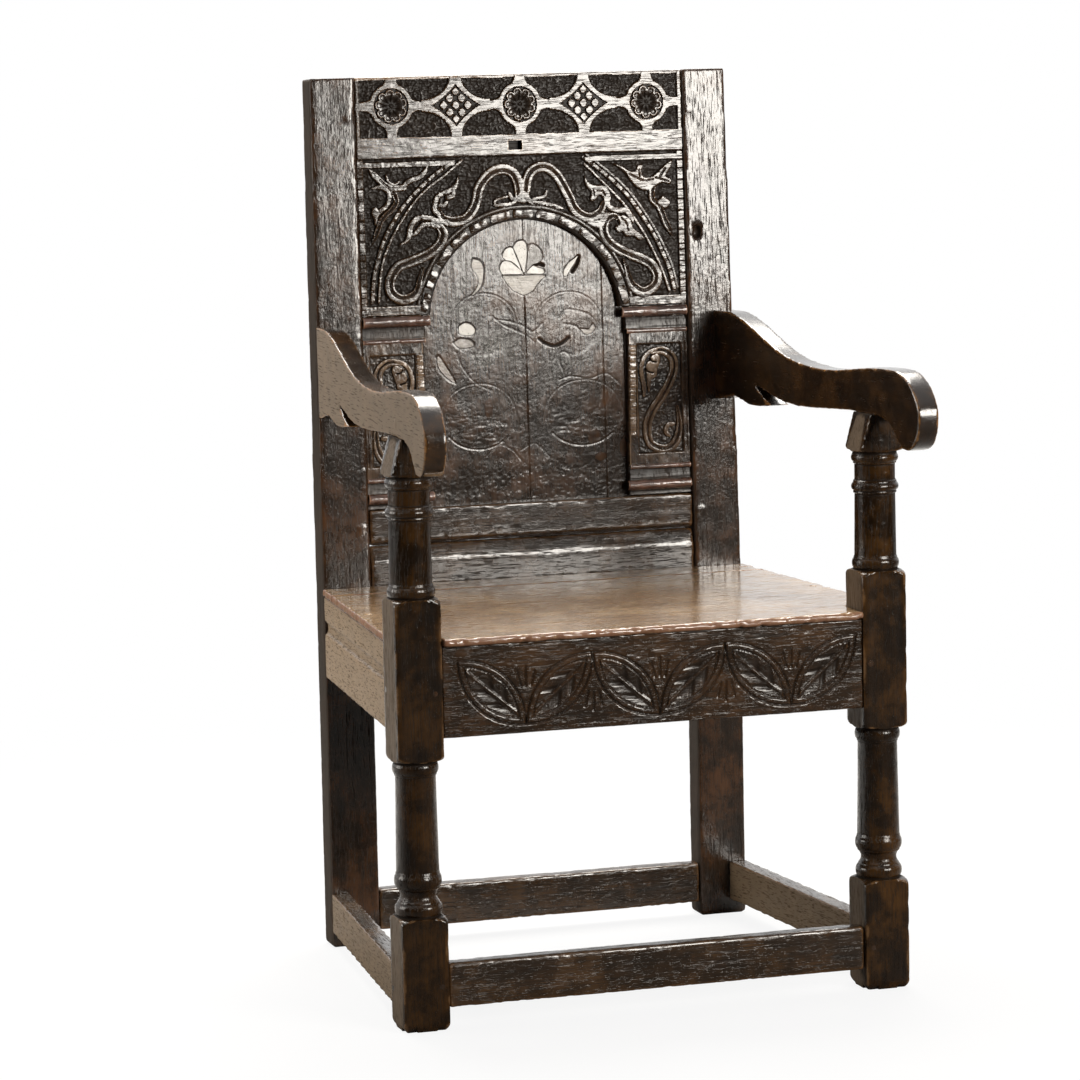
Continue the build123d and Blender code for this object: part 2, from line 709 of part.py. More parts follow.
def moulding(overhang, projection, z_low, height):
    """A half-round moulding applied to a pilaster's face."""
    x_low, x_high = pilaster_limits(overhang)
    radius = (height ** 2 / 4 + projection ** 2) / (2 * projection)
    face = Plane.YZ.offset(x_low)
    centre_z = z_low + height / 2
    section = face * Pos(pilaster_setback - projection + radius, centre_z) * Circle(radius)
    rod = extrude(section, x_high - x_low)
    keep = block((x_low, x_high), (pilaster_setback - projection, pilaster_setback), (z_low, z_low + height))
    return in_back(rod & keep)


def capital_moulding():
    """The bold moulding at the pilaster's head."""
    return moulding(capital_overhang, capital_projection, arch_bottom - capital_height, capital_height)


def capital_necking():
    """The thin moulding under the capital."""
    top = arch_bottom - capital_necking_drop
    return moulding(0, necking_projection, top - necking_height, necking_height)


def base_necking():
    """The thin moulding over the base."""
    return moulding(0, necking_projection, mid_rail_top + base_necking_rise, necking_height)


def base_moulding():
    """The bold moulding at the pilaster's foot."""
    return moulding(base_overhang, base_projection, mid_rail_top + base_rise, base_height)


# ---- assembly -------------------------------------------------------------------------
def cut_all(body, tools):
    """Cuts each tool out of a body."""
    for tool in tools:
        body -= tool
    return body


def group(shapes):
    """Separate solids that share one node."""
    return Compound([solid for shape in shapes for solid in shape.solids()])


def add(name, shape):
    """Keeps a node."""
    nodes[name] = shape


def add_pair(name, shape):
    """Keeps a +X piece as the right-hand node and its mirror image as the left-hand one."""
    add(name + "_right", shape)
    add(name + "_left", mirrored(shape))


holes = frame_pegs(peg_hole)
arm_holes = arm_pegs(peg_hole)
both_holes = holes + [mirrored(hole) for hole in holes]
seat_peg_holes = seat_pegs(peg_clearance)

add_pair("front_post", cut_all(front_post(), holes + arm_holes))
rear_post_right = cut_all(rear_post(), holes + arm_holes)
add("rear_post_left", mirrored(rear_post_right))
add("rear_post_right", rear_post_right - stile_pocket())

add("front_seat_rail", cut_all(front_seat_rail(), both_holes))
add("rear_seat_rail", cut_all(rear_seat_rail(), both_holes))
add_pair("side_seat_rail", cut_all(side_seat_rail(), holes + seat_peg_holes))
add("front_stretcher",
    cut_all(cross_stretcher(front_inner, front_stretcher_setback, front_stretcher_bottom), both_holes))
add("rear_stretcher",
    cut_all(cross_stretcher(rear_inner, frame_depth + rail_setback, rear_stretcher_bottom), both_holes))
add_pair("side_stretcher", cut_all(side_stretcher(), holes))

add("seat_board_front", cut_all(seat_board_front(), seat_peg_holes))
add("seat_board_rear", cut_all(seat_board_rear(), seat_peg_holes))

add_pair("arm", cut_all(arm(), arm_holes))
add("crest_rail", cut_all(crest_rail(), both_holes))
add("mid_back_rail", cut_all(mid_back_rail(), both_holes))

panel_edge = rear_inner + groove_depth - tenon_end_gap
pockets = all_pockets()
add("panel_board_left", in_back(cut_all(panel_board(-panel_edge, panel_joint_left), pockets)))
add("panel_board_centre", in_back(cut_all(panel_board(panel_joint_left, panel_joint_right), pockets)))
add("panel_board_right", in_back(cut_all(panel_board(panel_joint_right, panel_edge), pockets)))
add("arch_board", arch_board())
add_pair("pilaster", pilaster())
add_pair("capital_moulding", capital_moulding())
add_pair("capital_necking", capital_necking())
add_pair("base_necking", base_necking())
add_pair("base_moulding", base_moulding())
add("inlay_flower", in_back(inlay(flower_face())))
add("inlay_leaf_left", in_back(inlay(leaf_face(-1))))
add("inlay_leaf_right", in_back(inlay(leaf_face(1))))
add("inlay_buds", group([in_back(inlay(bud_face(side))) for side in (-1, 1)]))

pegs = frame_pegs(peg)
add("frame_pegs", group(pegs + [mirrored(shape) for shape in pegs]))
arm_peg_set = arm_pegs(peg)
add("arm_pegs", group(arm_peg_set + [mirrored(shape) for shape in arm_peg_set]))
add("seat_pegs", group(seat_pegs()))

os.makedirs("parts", exist_ok=True)
for name, shape in nodes.items():
    export_step(Pos(0, -centre_y, 0) * shape, f"parts/{name}.step")
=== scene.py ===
import itertools
import logging
import math
from dataclasses import dataclass, field, replace
from enum import Enum
from typing import Any, Callable, Mapping, Sequence

import bmesh
import bpy
import numpy as np
from mathutils import Matrix, Vector


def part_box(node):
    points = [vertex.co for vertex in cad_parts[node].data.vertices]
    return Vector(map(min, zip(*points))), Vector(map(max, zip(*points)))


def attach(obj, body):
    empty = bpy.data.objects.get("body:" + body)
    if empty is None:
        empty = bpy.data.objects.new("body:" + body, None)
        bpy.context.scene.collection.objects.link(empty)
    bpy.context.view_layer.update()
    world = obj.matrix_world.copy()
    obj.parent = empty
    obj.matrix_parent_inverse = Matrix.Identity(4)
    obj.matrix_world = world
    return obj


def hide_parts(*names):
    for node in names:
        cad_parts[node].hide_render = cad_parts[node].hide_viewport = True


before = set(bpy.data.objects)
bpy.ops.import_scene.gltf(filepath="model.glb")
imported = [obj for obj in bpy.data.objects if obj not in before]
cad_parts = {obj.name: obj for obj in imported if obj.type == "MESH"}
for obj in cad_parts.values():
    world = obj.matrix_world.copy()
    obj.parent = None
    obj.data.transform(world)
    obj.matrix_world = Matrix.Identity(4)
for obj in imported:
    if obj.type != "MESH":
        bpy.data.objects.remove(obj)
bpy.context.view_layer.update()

logging.basicConfig(level=logging.INFO, format="%(message)s")
log = logging.getLogger("chair")

MM = 0.001
Colour = tuple[float, float, float]
Points = Sequence[tuple[float, float]]
SHARP = 0.6  # an edge that turns by more radians than this stays sharp
LEFT = (-1.0, 0.0, 0.0)  # towards the viewer's left
SCROLL_WIDTH = 12.0  # of the arch board's broad scrolls, in millimetres


# ---- the chair's planes ---------------------------------------------------------------
@dataclass(frozen=True)
class ChairPlanes:
    """The planes that the carved pieces are laid out on, in metres."""

    lean_run: float = 0.023
    seat_top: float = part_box("seat_board_front")[1].z
    post_front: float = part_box("front_post_right")[0].y
    stile_front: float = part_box("rear_post_right")[0].y
    top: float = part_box("rear_post_right")[1].z

    @property
    def lean(self) -> float:
        """Angle of the back behind the upright."""
        return math.atan2(self.lean_run, self.top - self.seat_top)

    def on_back(self, across: np.ndarray, depth: np.ndarray, up: np.ndarray) -> np.ndarray:
        """Places points given in millimetres in the leaning back's own frame.

        Args:
            across: distance from the middle, towards the viewer's right.
            depth: distance behind the stiles' front face.
            up: distance from the seat, along the stiles.

        Returns:
            Points in metres, one row each.
        """
        run, rise = math.sin(self.lean), math.cos(self.lean)
        y = self.stile_front + (depth * rise + up * run) * MM
        z = self.seat_top + (up * rise - depth * run) * MM
        return np.stack([across * MM + 0 * y, y, z], axis=-1)

    def on_front(self, across: np.ndarray, depth: np.ndarray, up: np.ndarray) -> np.ndarray:
        """Places points given in millimetres from the front posts' front face and the floor.

        Args:
            across: distance from the middle, towards the viewer's right.
            depth: distance behind the front posts' front face.
            up: height over the floor.

        Returns:
            Points in metres, one row each.
        """
        y = self.post_front + depth * MM + 0 * up
        return np.stack([across * MM + 0 * y, y, up * MM + 0 * y], axis=-1)


PLANES = ChairPlanes()
Place = Callable[[np.ndarray, np.ndarray, np.ndarray], np.ndarray]


# ---- shader nodes ---------------------------------------------------------------------
class Tree:
    """Adds nodes to one node tree."""

    def __init__(self, tree: bpy.types.NodeTree) -> None:
        """Takes the tree that nodes are added to."""
        self.tree = tree

    @classmethod
    def of(cls, owner: bpy.types.Material | bpy.types.World) -> "Tree":
        """The emptied node tree of a material or a world."""
        owner.use_nodes = True
        owner.node_tree.nodes.clear()
        return cls(owner.node_tree)

    def node(self, kind: str, settings: Mapping[str, Any] | None = None,
             inputs: Mapping[Any, Any] | None = None, output: int | str = 0) -> "Value":
        """Adds one node.

        Args:
            kind: the node's type.
            settings: properties of the node, set first.
            inputs: values, or links from other nodes, by socket.
            output: which socket the result reads.

        Returns:
            The chosen output.
        """
        made = self.tree.nodes.new(kind)
        for key, value in (settings or {}).items():
            setattr(made, key, value)
        for key, value in (inputs or {}).items():
            if isinstance(value, Value):
                self.tree.links.new(value.socket, made.inputs[key])
            else:
                made.inputs[key].default_value = value
        return Value(self, made.outputs[output])

    def end(self, kind: str, surface: "Value") -> None:
        """Adds the output node and links the surface to it."""
        self.tree.links.new(surface.socket, self.tree.nodes.new(kind).inputs["Surface"])

    def attribute(self, name: str) -> "Value":
        """Reads a number stored on the mesh."""
        return self.node("ShaderNodeAttribute", {"attribute_name": name}, output="Fac")

    def stretched(self, place: "Value", scale: Sequence[float]) -> "Value":
        """Coordinates scaled along each axis."""
        return self.node("ShaderNodeMapping", None, {"Vector": place, "Scale": scale})

    def vector(self, operation: str, inputs: Mapping[Any, Any], output: int | str = 0) -> "Value":
        """Adds a Vector Math node."""
        return self.node("ShaderNodeVectorMath", {"operation": operation}, inputs, output)

    def axis(self, vector: "Value", name: str) -> "Value":
        """One coordinate of a vector."""
        return self.node("ShaderNodeSeparateXYZ", None, {"Vector": vector}, name)

    def ray(self, kind: str) -> "Value":
        """1 for rays of a kind, such as Is Camera Ray."""
        return self.node("ShaderNodeLightPath", output=kind)

    def bump(self, height: "Value") -> "Value":
        """The normal of a surface with heights in millimetres."""
        heights = {"Height": height, "Strength": 1.0, "Distance": MM}
        return self.node("ShaderNodeBump", None, heights, "Normal")

    def mix(self, factor: "Value | float", first: "Value | Colour", second: "Value | Colour") -> "Value":
        """Mixes two colours.

        Args:
            factor: share of the second colour.
            first: colour at 0.
            second: colour at 1.

        Returns:
            The mixed colour.
        """
        ends = [end if isinstance(end, Value) else (*end, 1.0) for end in (first, second)]
        return self.node("ShaderNodeMix", {"data_type": "RGBA", "clamp_factor": True},
                         {0: factor, 6: ends[0], 7: ends[1]}, output=2)

    def noise(self, place: "Value", scale: float, detail: float = 2.0, rough: float = 0.55) -> "Value":
        """Smooth noise.

        Args:
            place: coordinates it is read at.
            scale: features for each metre.
            detail: octaves.
            rough: share that each octave keeps.

        Returns:
            The noise, from 0 to 1.
        """
        return self.node("ShaderNodeTexNoise", None,
                         {"Vector": place, "Scale": scale, "Detail": detail, "Roughness": rough})


class Value:
    """A socket with arithmetic that adds Math nodes."""

    def __init__(self, tree: Tree, socket: bpy.types.NodeSocket) -> None:
        """Takes the socket that the value is read from."""
        self.tree = tree
        self.socket = socket

    def math(self, operation: str, *others: "Value | float") -> "Value":
        """Adds a Math node with this value first."""
        inputs = dict(enumerate((self, *others)))
        return self.tree.node("ShaderNodeMath", {"operation": operation}, inputs)

    def __add__(self, other: "Value | float") -> "Value":
        """Sum."""
        return self.math("ADD", other)

    __radd__ = __add__

    def __mul__(self, other: "Value | float") -> "Value":
        """Product."""
        return self.math("MULTIPLY", other)

    __rmul__ = __mul__

    def __sub__(self, other: "Value | float") -> "Value":
        """Difference."""
        return self.math("SUBTRACT", other)

    def __rsub__(self, other: float) -> "Value":
        """Difference from a number."""
        return self.tree.node("ShaderNodeMath", {"operation": "SUBTRACT"}, {0: other, 1: self})

    def between(self, low: float, high: float) -> "Value":
        """A soft step that rises from 0 at low to 1 at high."""
        return self.tree.node("ShaderNodeMapRange", {"interpolation_type": "SMOOTHSTEP"},
                              {"Value": self, "From Min": low, "From Max": high})


# ---- finishes -------------------------------------------------------------------------
class Grain(Enum):
    """The axis that a piece's fibres run along."""

    ACROSS = 0
    DEEP = 1
    UPRIGHT = 2

    def stretch(self, share: float) -> tuple[float, ...]:
        """Scales for a pattern drawn out along the fibres by 1 / share."""
        return tuple(share if axis == self.value else 1.0 for axis in range(3))


@dataclass(frozen=True)
class OakFinish:
    """Old waxed oak: tones from its heart to its rubbed edges, and scales in features for each metre."""

    name: str
    grain: Grain
    heart: Colour = (0.0070, 0.0042, 0.0022)
    body: Colour = (0.0400, 0.0205, 0.0085)
    glow: Colour = (0.1150, 0.0560, 0.0200)
    worn: Colour = (0.1900, 0.0950, 0.0380)
    grime: Colour = (0.0110, 0.0066, 0.0040)
    warmth: float = 0.5
    wear: float = 0.5
    roughness: float = 0.165
    specular: float = 0.8
    pores: float = 1.0
    pore_cut: float = 0.56
    pore_scale: float = 820.0
    fibre_scale: float = 560.0
    crack_scale: float = 330.0
    dent_scale: float = 230.0
    band_scale: float = 90.0
    cloud_scale: float = 44.0
    patch_scale: float = 15.0
    drawn: float = 0.030
    dash: float = 0.07
    streaks: float = 1.0
    furrow: float = 0.07
    wrinkle: float = 0.06
    wax: float = 0.15
    # painted side light: colour of the faces that look towards the lit side, standing for the light falling
    # on them
    lit_side_colour: Colour = (0.070, 0.034, 0.012)
    bare: float = 0.75
    bare_pores: float = 1.0
    cloudy: float = 0.14
    wave: float = 0.008
    shift: float = 0.0

    def material(self) -> bpy.types.Material:
        """Builds the material.

        Returns:
            A material that reads the mesh attributes wear, grime and dry.
        """
        made = bpy.data.materials.new(self.name)
        tree = Tree.of(made)
        place = tree.node("ShaderNodeTexCoord", output="Object")
        moved = tree.node("ShaderNodeMapping", None, {"Vector": place, "Location": (self.shift,) * 3})
        swirl = tree.node("ShaderNodeTexNoise", None, {"Vector": moved, "Scale": 7.0, "Detail": 1.0}, "Color")
        bent = tree.vector("MULTIPLY_ADD", {0: swirl, 1: (self.wave,) * 3, 2: moved})
        fibres = tree.stretched(bent, self.grain.stretch(self.drawn))
        dashes = tree.stretched(bent, self.grain.stretch(self.dash))
        fibre = tree.noise(fibres, self.fibre_scale, 4.0, 0.6)
        band = tree.noise(fibres, self.band_scale, 3.0)
        patch = tree.noise(moved, self.patch_scale, 4.0, 0.62)
        cloud = tree.noise(moved, self.cloud_scale, 4.0, 0.62)
        dent = tree.noise(moved, self.dent_scale, 3.0, 0.55)
        wear, grime, dry = (tree.attribute(name) for name in ("wear", "grime", "dry"))
        open_pores = dry * (self.bare_pores - self.pores) + self.pores
        grained = tree.noise(dashes, self.pore_scale, 2.0, 0.5)
        pore = grained.between(self.pore_cut, self.pore_cut + 0.09) * open_pores
        crack = tree.noise(fibres, self.crack_scale, 3.0, 0.7).between(0.57, 0.66) * self.streaks
        lost = (pore * 0.75 + crack * cloud.between(0.30, 0.62) * 0.95).math("MINIMUM", 1.0)
        tone = (fibre * 0.6 + band * 0.6 - 0.10).between(0.20, 0.80)
        rub = (wear * (0.35 + dent * 1.3)).between(0.45, 1.0) * self.wear
        warm = (patch * 0.6 + cloud * 0.4).between(0.44, 0.66) * (0.35 + fibre * 1.2)
        colour = tree.mix(tone, self.heart, self.body)
        colour = tree.mix((warm + wear * 0.6) * self.warmth, colour, self.glow)
        # painted side light: faces on the lit side take their own colour in place of their lit look; the same
        # mask makes them matte
        colour = tree.mix(dry * (0.55 + cloud * 0.5), colour, self.lit_side_colour)
        colour = tree.mix(lost * 0.8, colour, self.heart)
        colour = tree.mix(rub, colour, self.worn)
        # grime here is settled dirt, and also painted shade in the pilasters' coves and sunk edge strips and,
        # in part, in the rosettes' hollows
        colour = tree.mix(grime.between(0.10, 0.85) * 0.9, colour, self.grime)
        rough = self.roughness + (cloud - 0.45) * self.cloudy + lost * 0.30 + grime * 0.22
        rough = rough - wear * 0.05 + dry * 0.16
        height = fibre * self.furrow - lost * 0.26 + dent * self.wrinkle + cloud * 0.25 + patch * 0.5
        coat = (1.0 - lost) * (1.0 - grime) * (1.0 - dry) * self.wax
        waxed = tree.node("ShaderNodeBsdfPrincipled", None,
                          {"Base Color": colour, "Roughness": rough, "Normal": tree.bump(height),
                           "Coat Weight": coat, "Coat Roughness": 0.14, "Specular IOR Level": self.specular})
        bare = tree.node("ShaderNodeBsdfPrincipled", None,
                         {"Base Color": colour, "Roughness": 0.85, "Specular IOR Level": 0.12})
        hollow = (lost * 0.85 + grime.between(0.25, 0.9) * 0.80 + dry * self.bare).math("MINIMUM", 0.95)
        surface = tree.node("ShaderNodeMixShader", None, {0: hollow, 1: waxed, 2: bare})
        tree.end("ShaderNodeOutputMaterial", surface)
        return made


# ---- meshes ---------------------------------------------------------------------------
def lattice_noise(points: np.ndarray, seed: int) -> np.ndarray:
    """Smooth random field with one cell for each unit.

    Args:
        points: coordinates, in the last axis.
        seed: picks the field.

    Returns:
        Values from -1 to 1.
    """
    cell = np.floor(points).astype(np.int64)
    part = points - cell
    ease = part * part * (3 - 2 * part)
    total = np.zeros(points.shape[:-1])
    for corner in itertools.product((0, 1), repeat=points.shape[-1]):
        mixed = np.full(points.shape[:-1], seed * 1013904223, np.int64)
        weight = np.ones(points.shape[:-1])
        for axis, step in enumerate(corner):
            mixed = (mixed ^ (cell[..., axis] + step) * 374761393) * 668265263
            mixed = mixed ^ (mixed >> 15)
            weight = weight * (ease[..., axis] if step else 1 - ease[..., axis])
        total += weight * ((mixed & 0xFFFF) / 32767.5 - 1)
    return total


def soften(values: np.ndarray, steps: int) -> np.ndarray:
    """Averages a grid with its neighbours.

    Args:
        values: the grid.
        steps: how many times.

    Returns:
        The softened grid.
    """
    for _ in range(steps):
        padded = np.pad(values, 1, mode="edge")
        values = (padded[1:-1, 1:-1] * 2 + padded[:-2, 1:-1] + padded[2:, 1:-1]
                  + padded[1:-1, :-2] + padded[1:-1, 2:]) / 6
    return values


def smooth_path(points: Points, steps: int = 6) -> np.ndarray:
    """A smooth curve through a few points.

    Args:
        points: the points that it passes.
        steps: straight pieces for each span.

    Returns:
        Points along the curve.
    """
    given = np.array(points, float)
    ends = np.vstack([2 * given[0] - given[1], given, 2 * given[-1] - given[-2]])
    out = []
    for before, start, end, after in zip(ends, ends[1:], ends[2:], ends[3:]):
        for t in np.arange(steps) / steps:
            out.append(0.5 * (2 * start + (end - before) * t
                              + (2 * before - 5 * start + 4 * end - after) * t ** 2
                              + (3 * start - before - 3 * end + after) * t ** 3))
    return np.array(out + [given[-1]])


def new_object(name: str, data: Any) -> bpy.types.Object:
    """Makes an object in the scene, at the origin.

    Args:
        name: its name.
        data: its mesh, lamp or camera.

    Returns:
        The object.
    """
    made = bpy.data.objects.new(name, data)
    bpy.context.scene.collection.objects.link(made)
    return made


def plain_mesh(carrier: bpy.types.Object) -> bpy.types.Mesh:
    """Turns an object with modifiers into a plain mesh.

    Args:
        carrier: the object, which is removed.

    Returns:
        The mesh.
    """
    ready = bpy.data.meshes.new_from_object(carrier.evaluated_get(bpy.context.evaluated_depsgraph_get()))
    bpy.data.objects.remove(carrier)
    return ready


def store(mesh: bpy.types.Mesh, **fields: np.ndarray) -> None:
    """Stores fields on a mesh's vertices, kept from 0 to 1.

    Args:
        mesh: the mesh.
        fields: one value for each vertex, by name.
    """
    for key, values in fields.items():
        layer = mesh.attributes.new(key, "FLOAT", "POINT")
        layer.data.foreach_set("value", np.clip(values, 0, 1).astype(np.float32).ravel())


def build(name: str, points: np.ndarray, faces: Sequence[Sequence[int]], wear: np.ndarray,
          grime: np.ndarray, material: bpy.types.Material,
          dry: np.ndarray | None = None) -> bpy.types.Object:
    """Makes one object with the attributes that its finish reads.

    Args:
        name: the piece's name.
        points: vertices in metres.
        faces: vertex indices of each face.
        wear: how rubbed each vertex is, from 0 to 1.
        grime: how deep in dirt each vertex is, from 0 to 1.
        material: its finish.
        dry: how far each vertex lies on the lit side, whose light is painted into its colour and which is
            made matte, from 0 to 1.

    Returns:
        The object, at the origin.
    """
    mesh = bpy.data.meshes.new(name)
    mesh.from_pydata(points.reshape(-1, 3).tolist(), [], faces)
    store(mesh, wear=wear, grime=grime, dry=0 * wear if dry is None else dry)
    mesh.materials.append(material)
    mesh.shade_smooth()
    mesh.set_sharp_from_angle(angle=SHARP)
    return new_object(name, mesh)


def finish_piece(piece: bpy.types.Object, slot: str, *nodes: str) -> None:
    """Puts a piece under the root body and hides the CAD nodes that it replaces.

    Args:
        piece: the object.
        slot: not used.
        nodes: the CAD nodes that it replaces.
    """
    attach(piece, "root")
    if nodes:
        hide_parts(*nodes)
    log.info("%s: %d faces", piece.name, len(piece.data.polygons))


def edge_loop(faces: np.ndarray) -> list[int]:
    """The outer edge of a sheet of quads.

    Args:
        faces: vertex indices, one quad a row, all turned one way.

    Returns:
        The vertices of the single outer loop, in the quads' own sense.
    """
    starts, ends = faces.ravel(), np.roll(faces, -1, axis=1).ravel()
    forward = set(zip(starts.tolist(), ends.tolist()))
    step = {a: b for a, b in forward if (b, a) not in forward}
    first = min(step)
    loop = [first]
    while step[loop[-1]] != first:
        loop.append(step[loop[-1]])
    return loop


@dataclass(frozen=True)
class Strap:
    """A curved strap that is left standing. Millimetres, and shares of its half width.

    Its groove starts and ends at two shares left of the middle line, start and end are the width kept
    at its ends, and gouge is the groove's depth and half width.
    """

    points: Points
    width: float
    groove: tuple[float, float] | None = None
    start: float = 1.0
    end: float = 1.0
    gouge: tuple[float, float] = (2.3, 1.05)


@dataclass
class CarvedFace:
    """A carved board held as heights over a grid, in millimetres."""

    low: tuple[float, float]
    high: tuple[float, float]
    pitch: float
    seen: tuple[float, float] | None = None
    near: float = 25.0  # distances to a path are measured this far round it
    across: np.ndarray = field(init=False)
    up: np.ndarray = field(init=False)
    height: np.ndarray = field(init=False)
    dirt: np.ndarray = field(init=False)
    rubbed: np.ndarray = field(init=False)

    def __post_init__(self) -> None:
        """Lays out the grid, coarse where nothing is seen."""
        counts = [round((self.high[axis] - self.low[axis]) / self.pitch) + 1 for axis in (0, 1)]
        lines = [np.linspace(self.low[axis], self.high[axis], counts[axis]) for axis in (0, 1)]
        if self.seen:
            hidden = (lines[0] < self.seen[0]) | (lines[0] > self.seen[1])
            hidden[[0, -1]] = False
            lines[0] = lines[0][~hidden | (np.arange(len(hidden)) % 6 == 0)]
        self.across, self.up = np.meshgrid(*lines)
        self.height = np.zeros_like(self.across)
        self.dirt = np.zeros_like(self.across)
        self.rubbed = np.zeros_like(self.across)

    def noise(self, size: tuple[float, float], seed: int) -> np.ndarray:
        """Random field with cells of a size (across, up)."""
        return lattice_noise(np.stack([self.across / size[0], self.up / size[1]], axis=-1), seed)

    def punched(self, cell: float, seed: int) -> np.ndarray:
        """Random field with square cells that stand on their corners."""
        first, second = (self.across * 0.82 + self.up * 0.57), (self.up * 0.82 - self.across * 0.57)
        return lattice_noise(np.stack([first / cell, second / cell], axis=-1), seed)

    def distance(self, path: np.ndarray) -> tuple[np.ndarray, np.ndarray, np.ndarray]:
        """Measures the grid against a path.

        Args:
            path: points along it.

        Returns:
            The distance, the share of the path's length there, and 1 on its left or -1 on its right.
        """
        low, high = path.min(axis=0) - self.near, path.max(axis=0) + self.near
        window = (self.across > low[0]) & (self.across < high[0]) & (self.up > low[1]) & (self.up < high[1])
        across, up = self.across[window], self.up[window]
        best = np.full(across.shape, 1e3)
        share, side = np.zeros(across.shape), np.ones(across.shape)
        spans = np.linalg.norm(np.diff(path, axis=0), axis=1)
        reached = np.concatenate([[0], np.cumsum(spans)]) / spans.sum()
        for start, end, before, after in zip(path, path[1:], reached, reached[1:]):
            run = end - start
            along = (across - start[0]) * run[0] + (up - start[1]) * run[1]
            t = np.clip(along / max(run @ run, 1e-9), 0, 1)
            gap = np.hypot(across - start[0] - t * run[0], up - start[1] - t * run[1])
            nearer = gap < best
            best = np.where(nearer, gap, best)
            share = np.where(nearer, before + t * (after - before), share)
            turned = run[0] * (up - start[1]) - run[1] * (across - start[0])
            side = np.where(nearer, np.sign(turned), side)
        fields = [np.full(self.across.shape, 1e3), np.zeros(self.across.shape), np.ones(self.across.shape)]
        for whole, part in zip(fields, (best, share, side)):
            whole[window] = part
        return fields[0], fields[1], fields[2]

    def raise_to(self, shape: float | np.ndarray, zone: bool | np.ndarray = True) -> None:
        """Keeps the higher of the face and a shape, inside a zone."""
        self.height = np.where(zone, np.maximum(self.height, shape), self.height)

    def strap(self, strap: Strap, top: float | np.ndarray = 0.0) -> None:
        """Leaves a strap standing.

        Args:
            strap: its course and section.
            top: height of its upper face.
        """
        gap, share, side = self.distance(smooth_path(strap.points))
        taper = np.minimum(1, strap.start + share * 5) * np.minimum(1, strap.end + (1 - share) * 4)
        half = strap.width / 2 * taper
        shape = top - 0.15 * np.minimum(gap / half, 2) ** 8 - 3.6 * np.maximum(gap - half, 0)
        if strap.groove:
            first, last = strap.groove
            middle = (first + (last - first) * share * share * (3 - 2 * share)) * half
            depth, reach = strap.gouge
            shape = shape - depth * np.exp(-((gap * side - middle) / reach) ** 2)
        self.raise_to(shape)

    def patch(self, outline: Points, top: float = 0.0) -> None:
        """Leaves a flat leaf standing.

        Args:
            outline: points round it.
            top: height of its face.
        """
        ring = smooth_path((*outline, outline[0]), 3)
        gap, _, _ = self.distance(ring)
        inside = np.zeros(self.across.shape, bool)
        for (x, y), (next_x, next_y) in zip(ring, ring[1:]):
            if y != next_y:
                crossing = (y > self.up) != (next_y > self.up)
                inside ^= crossing & (self.across < x + (self.up - y) * (next_x - x) / (next_y - y))
        self.raise_to(np.where(inside, top - 0.15 * np.exp(-gap / 0.6), top - 0.15 - 3.6 * gap))

    def line(self, points: Points, width: float, depth: float, dirt: float = 0.0) -> None:
        """Cuts a V groove along a path and lets dirt settle in it.

        Args:
            points: points that the path passes.
            width: distance from its middle to its edge.
            depth: depth of its middle.
            dirt: how dirty its middle is, from 0 to 1.
        """
        gap, _, _ = self.distance(smooth_path(points))
        cut = np.clip(1 - gap / width, 0, 1)
        self.height = self.height - depth * cut
        self.dirt = np.maximum(self.dirt, dirt * np.minimum(cut * 2, 1))

    def round_arris(self, radius: float, seed: int) -> None:
        """Rounds the board's four edges unevenly.

        Args:
            radius: the mean radius.
            seed: picks the unevenness.
        """
        edge = np.minimum(np.minimum(self.across - self.low[0], self.high[0] - self.across),
                          np.minimum(self.up - self.low[1], self.high[1] - self.up))
        uneven = radius * (1 + 0.45 * self.noise((18, 14), seed) + 0.3 * self.noise((5, 4), seed + 1))
        inside = np.clip(uneven - edge, 0, uneven)
        self.height = self.height - (uneven - np.sqrt(np.maximum(uneven ** 2 - inside ** 2, 0)))

    def solid(self, name: str, place: Place, depths: tuple[float, float], material: bpy.types.Material,
              slot: str, node: str, hole: tuple[float, float, float] | None = None, ground: float = 3.0,
              sides: float = 0.0) -> None:
        """Turns the face into a closed board in place of its CAD node.

        Args:
            name: the piece's name.
            place: puts (across, depth, up) in the chair.
            depths: where the uncut face and the board's back lie.
            material: its finish.
            slot: not used.
            node: the CAD node that it replaces.
            hole: centre and radius of a round cut from the face's edge.
            ground: depth of the deepest ground, for the dirt.
            sides: how dirty the board's edges are.
        """
        front, back = depths
        across, up = self.across.copy(), self.up.copy()
        rows, columns = across.shape
        kept = np.ones((rows - 1, columns - 1), bool)
        if hole:
            reach = np.hypot(across - hole[0], up - hole[1])
            outside = reach >= hole[2]
            kept = outside[:-1, :-1] | outside[1:, :-1] | outside[:-1, 1:] | outside[1:, 1:]
            pull = np.where(outside, 1.0, hole[2] / np.maximum(reach, 1e-6))
            across = hole[0] + (across - hole[0]) * pull
            up = np.maximum(hole[1] + (up - hole[1]) * pull, self.low[1])
        index = np.arange(rows * columns).reshape(rows, columns)
        quads = np.stack([index[:-1, :-1], index[:-1, 1:], index[1:, 1:], index[1:, :-1]], axis=-1)[kept]
        loop = edge_loop(quads)
        used = np.unique(quads)
        fresh = np.full(rows * columns, -1)
        fresh[used] = np.arange(len(used))
        face = place(across, front - self.height, up).reshape(-1, 3)[used]
        rear = place(across, np.full_like(across, back), up).reshape(-1, 3)[loop]
        ring = fresh[loop].tolist()
        base = len(used)
        count = len(ring)
        walls = [(ring[(i + 1) % count], ring[i], base + i, base + (i + 1) % count) for i in range(count)]
        cap = tuple(range(base + count - 1, base - 1, -1))
        ridge = np.maximum(np.clip((self.height - soften(self.height, 7)) * 1.1, 0, 1), self.rubbed)
